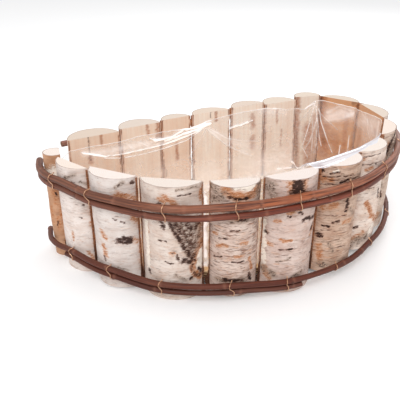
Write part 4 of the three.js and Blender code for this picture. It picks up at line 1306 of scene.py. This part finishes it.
# Folds: strength from 0 to 1, half width, and places (log, across, height).
film_folds = [
    (0.8, 1.0, [(1, 10, 93), (1, 30, 88.5), (2, -3, 88), (3, -20, 90), (3, 13, 95), (4, -17, 105)]),
    (1, 1.1, [(1, -17, 104), (1, 10, 95), (1, 30, 93), (2, -2, 94), (3, -20, 95), (3, 19, 102),
              (4, -12, 108)]),
    (1, 2.1, [(2, 10, 107), (2, 18, 103), (3, -20, 103), (3, -8, 104), (3, 8, 110), (4, -2, 112)]),
    (0.95, 1.6, [(3, -18, 100), (3, 8, 105), (4, -20, 108), (4, -4, 111)]),
    (0.4, 1.6, [(4, -8, 106), (4, 16, 83), (5, -18, 68), (5, 5, 56)]),
    (0.3, 1.2, [(4, -2, 104), (4, 22, 88), (5, -10, 80), (5, 20, 74)]),
    (1, 2.2, [(4, 25, 102), (5, -12, 103), (5, -3, 105)]), (0.9, 1.1, [(5, -12, 103), (5, 6, 106)]),
    (0.8, 0.9, [(6, -24, 119), (6, 7, 113.5), (7, -5, 108.5), (7, 9, 116)]),
    (0.8, 0.8, [(7, 11, 118), (7, -5, 53), (7, 5, 36)]),
    (0.6, 0.55, [(7, 9, 116), (7, 9, 84), (7, 10, 43)]), (0.7, 0.7, [(7, 12, 112), (8, -25, 46)]),
    (0.6, 0.55, [(7, 13, 112), (7, 15, 80), (7, 17, 43)]),
    (0.8, 0.9, [(7, 16, 108), (8, -13, 68), (8, -2, 47)]), (0.7, 0.9, [(7, 14, 94), (8, -19, 54)]),
    (0.6, 0.8, [(7, 14, 91), (7, 6, 62), (7, -2, 48)]),
    (0.22, 2.2, [(8, -15, 104), (8, 1, 115), (8, 19, 112)]),
    (0.2, 2.6, [(8, -11, 93), (8, 10, 100), (8, 27, 111)]),
    (0.7, 1.0, [(8, 22, 117), (9, -8, 122), (9, 25, 124)]),
    (0.8, 0.9, [(8, 20, 77), (8, 20, 52)]), (0.8, 1.2, [(8, 9, 60), (8, 8, 45)]),
    (0.8, 1.3, [(6, 21, 34), (7, -14, 24), (7, 11, 22)]), (0.6, 1.4, [(6, -4, 28), (6, 20, 26)]),
    (0.6, 1.4, [(13, -22, 131), (13, 0, 126), (13, 22, 115)]),
    (0.5, 1.0, [(12, -22, 131), (12, 0, 131), (12, 24, 131), (13, -24, 131)]),
    (0.5, 1.2, [(12, 22, 130), (12, 0, 127), (11, 20, 126), (11, -20, 122)]),
    # The last two are broad bright folds right behind the two front slits. Their whiteness and glow
    # are painted light, for the light seen through the slits.
    (1, 3, [(13, 33, 119), (13, 33, 22)]), (1, 3, [(14, 28, 119), (14, 28, 22)]),
]
# Milky veils where the film lies double or slack, listed as the folds are. They also
# glow a little, which is painted light.
film_veils = [
    (0.8, 5, [(1, -14, 103), (1, 20, 99), (2, 0, 101), (3, -15, 99), (3, 15, 105), (4, -12, 109)]),
    (0.5, 5, [(4, -4, 105), (4, 20, 86), (5, -12, 76), (5, 15, 66)]),
    (0.2, 3.6, [(7, 11, 115), (7, 13, 84), (7, 15, 43)]), (0.8, 5, [(9, 26, 118), (9, 30, 84)]),
    (0.5, 5, [(8, -16, 92), (8, 4, 96), (8, 20, 104)]), (0.4, 8, [(9, -22, 104), (9, 4, 100)]),
    (0.9, 9, [(8, -12, 98), (8, 5, 106), (8, 22, 108)]), (0.6, 14, [(9, -10, 110), (9, 20, 112)]),
    (0.7, 4, [(10, -6, 124), (10, -3, 92)]), (1, 9, [(11, 0, 134), (12, 26, 136), (13, -22, 138)]),
    (0.5, 6, [(5, 20, 117), (6, -20, 115), (6, 5, 109)]),
    (0.4, 9, [(12, -20, 134), (12, 24, 138), (13, -24, 138)]),
]
# Where the film is held to the logs.
film_anchors = [(2, -24, 110), (4, -3, 113), (7, 7, 110), (9, -5, 114), (11, 10, 120),
                (13, 12, 116), (14, -6, 110), (15, 10, 108), (16, 0, 107), (17, 5, 107),
                (18, 0, 108)]


def film_plan(rise_share):
    """The closed ring of inner corners of the logs' faces, at a share of their height."""
    corners = []
    for log in logs.values():
        middle = log.middle + rise_share * log.lean * log.outward
        corners += [middle - log.along * log.width / 2, middle + log.along * log.width / 2]
    return np.array(corners + corners[:1])


def on_ring(ring, places):
    """Points at places round the film on a closed ring, with its corners eased."""
    points = at_lengths(ring, film_lengths, places)
    for _ in range(3):
        for step in (1, 2):
            points = (np.roll(points, step, axis=0) + points + np.roll(points, -step, axis=0)) / 3
    return points


film_foot_ring = film_plan(0.0)
film_lengths = line_lengths(film_foot_ring)
film_around = film_lengths[-1]
film_log_middles = {number: (film_lengths[2 * i] + film_lengths[2 * i + 1]) / 2
                    for i, number in enumerate(logs)}


def film_place(log_number, across, height):
    """Length round the film and height, in millimetres, of a place on a log's flat face."""
    return film_log_middles[log_number] / mm + across, height


def round_gap(s, start):
    """How far round the film s is from start, the shorter way, in millimetres."""
    whole = film_around / mm
    return (s - start + whole / 2) % whole - whole / 2


def film_line(places):
    """A line of places on the logs, as the length round the film to the first of them,
    and each one's way from there and height."""
    flat = [film_place(*place) for place in places]
    start = flat[0][0]
    return start, [(round_gap(s, start), h) for s, h in flat]


# Loose wrinkles that start at each anchor: how many, the least and the greatest slope and
# length, how far they bend, and the least and the greatest strength and half width.
wrinkle_count = 4
wrinkle_slopes, wrinkle_lengths, wrinkle_bends = (-2.9, -0.25), (18, 62), (-0.25, 0.25)
wrinkle_strengths, wrinkle_widths = (0.08, 0.3), (0.6, 1.2)


def crease_lines():
    """The seen folds and the loose wrinkles, as (strength, half width, start, places)."""
    dice = np.random.default_rng(77)
    lines = [(strength, half_width, *film_line(places))
             for strength, half_width, places in film_folds]
    for place in film_anchors:
        start, height = film_place(*place)
        for _ in range(wrinkle_count):
            slope = dice.uniform(*wrinkle_slopes)
            run = dice.uniform(*wrinkle_lengths)
            bend = dice.uniform(*wrinkle_bends)
            steps = ((0, slope), (run / 2, slope), (run, slope + bend))
            ends = [(far * math.cos(turn), height + far * math.sin(turn)) for far, turn in steps]
            strength = dice.uniform(*wrinkle_strengths)
            lines.append((strength, dice.uniform(*wrinkle_widths), start, ends))
    return lines


def film_surface():
    """Points of the film, and how creased, lapped over and milky it is, as rows of closed
    loops from its edge down the wall and in over the floor.

    The columns crowd towards the back, by a sine wave of their share of the way round.
    A point stands in from the wall by a small gap, a slow billow and the ridges of the
    creases, each exp(-(distance / half width)²). Near the floor the wall turns in on a
    quarter circle, and on the floor the rows draw in to the middle over low wrinkles.
    What is above the rim's height turns outwards there: it rises as m(1 - exp(-h / m)),
    where m is the most it may rise, and sinks again with the way that it has gone out.
    """
    even = np.arange(film_columns) / film_columns
    pull = np.sin(2 * math.pi * (even - film_dense_share)) / (4 * math.pi)
    places = (even - pull) % 1.0 * film_around
    foot = on_ring(film_foot_ring, places)
    top = on_ring(film_plan(1.0), places)
    along = np.roll(foot, -1, axis=0) - np.roll(foot, 1, axis=0)
    along /= np.linalg.norm(along, axis=1, keepdims=True)
    inward = np.stack([along[:, 1], -along[:, 0]], axis=-1)
    board_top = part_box("base_board")[1][2]
    floor_height = board_top + film_lift
    log_top = max(log.top for log in logs.values())

    edge_places = np.array([film_place(*place) for place in film_edge])
    order = np.argsort(edge_places[:, 0])
    edge = np.interp(places / mm, edge_places[order, 0], edge_places[order, 1],
                     period=film_around / mm)
    edge = edge + film_waver * ripple(places / (7 * mm), 0 * places, 60)
    down = np.linspace(0, 1, film_wall_rows) ** film_wall_power
    height = edge * mm + down[:, None] * (floor_height - edge * mm)
    s = np.broadcast_to(places / mm, height.shape)
    h = height / mm

    crease = np.zeros_like(h)
    ridge = np.zeros_like(h)
    pinch = 0.75 + 0.85 * cloud(s / 8, h / 7, 90, 2)
    for strength, half_width, start, line in crease_lines():
        off = line_distance(round_gap(s, start), h, line) / (half_width * pinch)
        crease = np.maximum(crease, strength * np.exp(-off**2))
        proud = strength * half_width * min(half_width / film_full_fold, 1)
        ridge = np.maximum(ridge, proud * np.exp(-(off / film_ridge_width) ** 2))
    milk = np.zeros_like(h)
    for strength, half_width, veil in film_veils:
        start, line = film_line(veil)
        off = line_distance(round_gap(s, start), h, line) / half_width
        milk = np.maximum(milk, strength * np.exp(-off**2))
    clear_from = film_place(*film_clear_from, 0)[0]
    low_haze = ease((film_haze_height - h) / film_haze_fade)
    low_haze = low_haze * ease((clear_from - s) / film_clear_fade)
    milk = np.maximum(milk, low_haze * (0.7 + 0.3 * cloud(s / 45, h / 40, 95)))
    net = ease(1 - np.abs(cloud(s / 16, h / 9 + s / 31, 64)) * 5)
    net = net * ease(cloud(s / 30, h / 22, 70) * 2 + 0.4)
    crease = np.maximum(crease, film_net_strength * net)
    near_edge = np.exp(-(((edge - h) / film_hem) ** 2))
    crease = np.maximum(crease, film_hem_strength * near_edge)
    hold = np.full(h.shape, np.inf)
    for place in film_anchors:
        start, anchor_height = film_place(*place)
        hold = np.minimum(hold, np.hypot(round_gap(s, start), (h - anchor_height) * 0.8))
    loose = ease(hold / film_anchor_hold)
    billow = film_billow * loose * (0.5 + 0.5 * cloud(s / 34, h / 30, 61))
    stand = film_gap / mm + billow + film_fold_rise * ridge
    lapped = np.maximum(h - film_rim, 0)
    from_flap = np.abs(round_gap(s, film_place(*flap_middle, 0)[0]))
    most_rise = film_rim_rise + flap_rise * ease((flap_reach - from_flap) / flap_fade)
    rise = most_rise * (1 - np.exp(-lapped / most_rise))
    near_rim = ease(1 - np.maximum(h - film_rim + film_rim_hold, 0) / film_rim_hold)
    stand = stand * near_rim - (lapped - rise)
    lift = np.clip((floor_height + film_round - height) / film_round, 0, 1)
    stand = stand * mm + film_round * (1 - np.sqrt(np.maximum(1 - lift**2, 0)))
    share = (np.minimum(height, film_rim * mm) / log_top)[..., None]
    wall = foot * (1 - share) + top * share + stand[..., None] * inward
    crest = np.maximum(rise - flap_sink * (lapped - rise), np.minimum(rise, film_rest))
    level = np.minimum(height, film_rim * mm) + crest * mm
    wall_points = np.concatenate([wall, level[..., None]], axis=-1)

    draw = np.linspace(0, 1, film_floor_rows + 1)[1:] ** film_floor_power * film_floor_reach
    middle = wall[-1].mean(axis=0)
    floor_plan = wall[-1] + draw[:, None, None] * (middle - wall[-1])
    x, y = floor_plan[..., 0] / mm, floor_plan[..., 1] / mm
    slow = np.abs(cloud(x / 34, y / 26, 80))
    rumple = floor_slow_rise * slow + floor_fine_rise * np.abs(cloud(x / 9, y / 7, 81))
    rumple = rumple * ease(draw / 0.04)[:, None]
    floor_points = np.concatenate([floor_plan, (floor_height + rumple * mm)[..., None]], axis=-1)
    floor_crease = floor_crease_strength * ease(1 - slow * 9)
    points = np.concatenate([wall_points, floor_points])
    creased = np.concatenate([crease, floor_crease])
    lap = np.concatenate([ease(lapped / film_lap_fade), 0 * floor_crease])
    milk = np.concatenate([milk, 0 * floor_crease])
    return points, np.stack([creased, lap, milk, 0 * lap], axis=-1)


def film_material():
    """Clear film: nearly see-through, whiter edge on, along its creases and at its hem.
    The sharpest folds and the hem glint and slack film scatters light forwards, which a
    painted glow of its own stands for, and the film lets light through to the wood behind it."""
    material, tree = blank_material("clear_film")
    place = node(tree, "TexCoord", {}).outputs["Object"]
    creased, lap, milk, _ = mark_channels(tree)
    haze = stretched_noise(tree, place, (26, 26, 40), 3.0, 0.55, 0.5)
    crinkle = stretched_noise(tree, place, (190, 190, 150), 3.0, 0.6, 1.2)
    facing = node(tree, "LayerWeight", {"Blend": 0.5}).outputs["Facing"]
    slant = times(tree, maths(tree, "POWER", facing, 3.0), 0.55)
    thin = plus(tree, slant, remap(tree, haze, 0.35, 0.7, 0.05, 0.2))
    slack = times(tree, milk, remap(tree, crinkle, 0.35, 0.65, 0.4, 0.46))
    alpha = plus(tree, plus(tree, thin, slack), creased)
    alpha = times(tree, alpha, minus(tree, 1.0, times(tree, lap, 0.4)))
    alpha = plus(tree, alpha, times(tree, lap, 0.3), clamp=True)
    path = node(tree, "LightPath", {}).outputs
    let_through = maths(tree, "MAXIMUM", path["Is Shadow Ray"], path["Is Diffuse Ray"])
    glint = remap(tree, creased, 0.35, 0.95, 0.0, 0.4)
    glow = plus(tree, glint, times(tree, milk, 0.3))
    principled(tree, {
        "Base Color": blend(tree, lap, film_tone, film_lap_tone),
        "Roughness": 0.12,
        "Specular IOR Level": 0.6,
        "Emission Color": WHITE,
        "Emission Strength": times(tree, glow, minus(tree, 1.0, lap)),
        "Alpha": times(tree, alpha, minus(tree, 1.0, let_through)),
        "Normal": bumped(tree, crinkle, 0.07 * mm),
    })
    return material


film_points, film_masks = film_surface()
film_mesh = skin("film_bag", film_points, [film_material()], closed=False, marks=film_masks)
film = show(film_mesh, "film_liner")
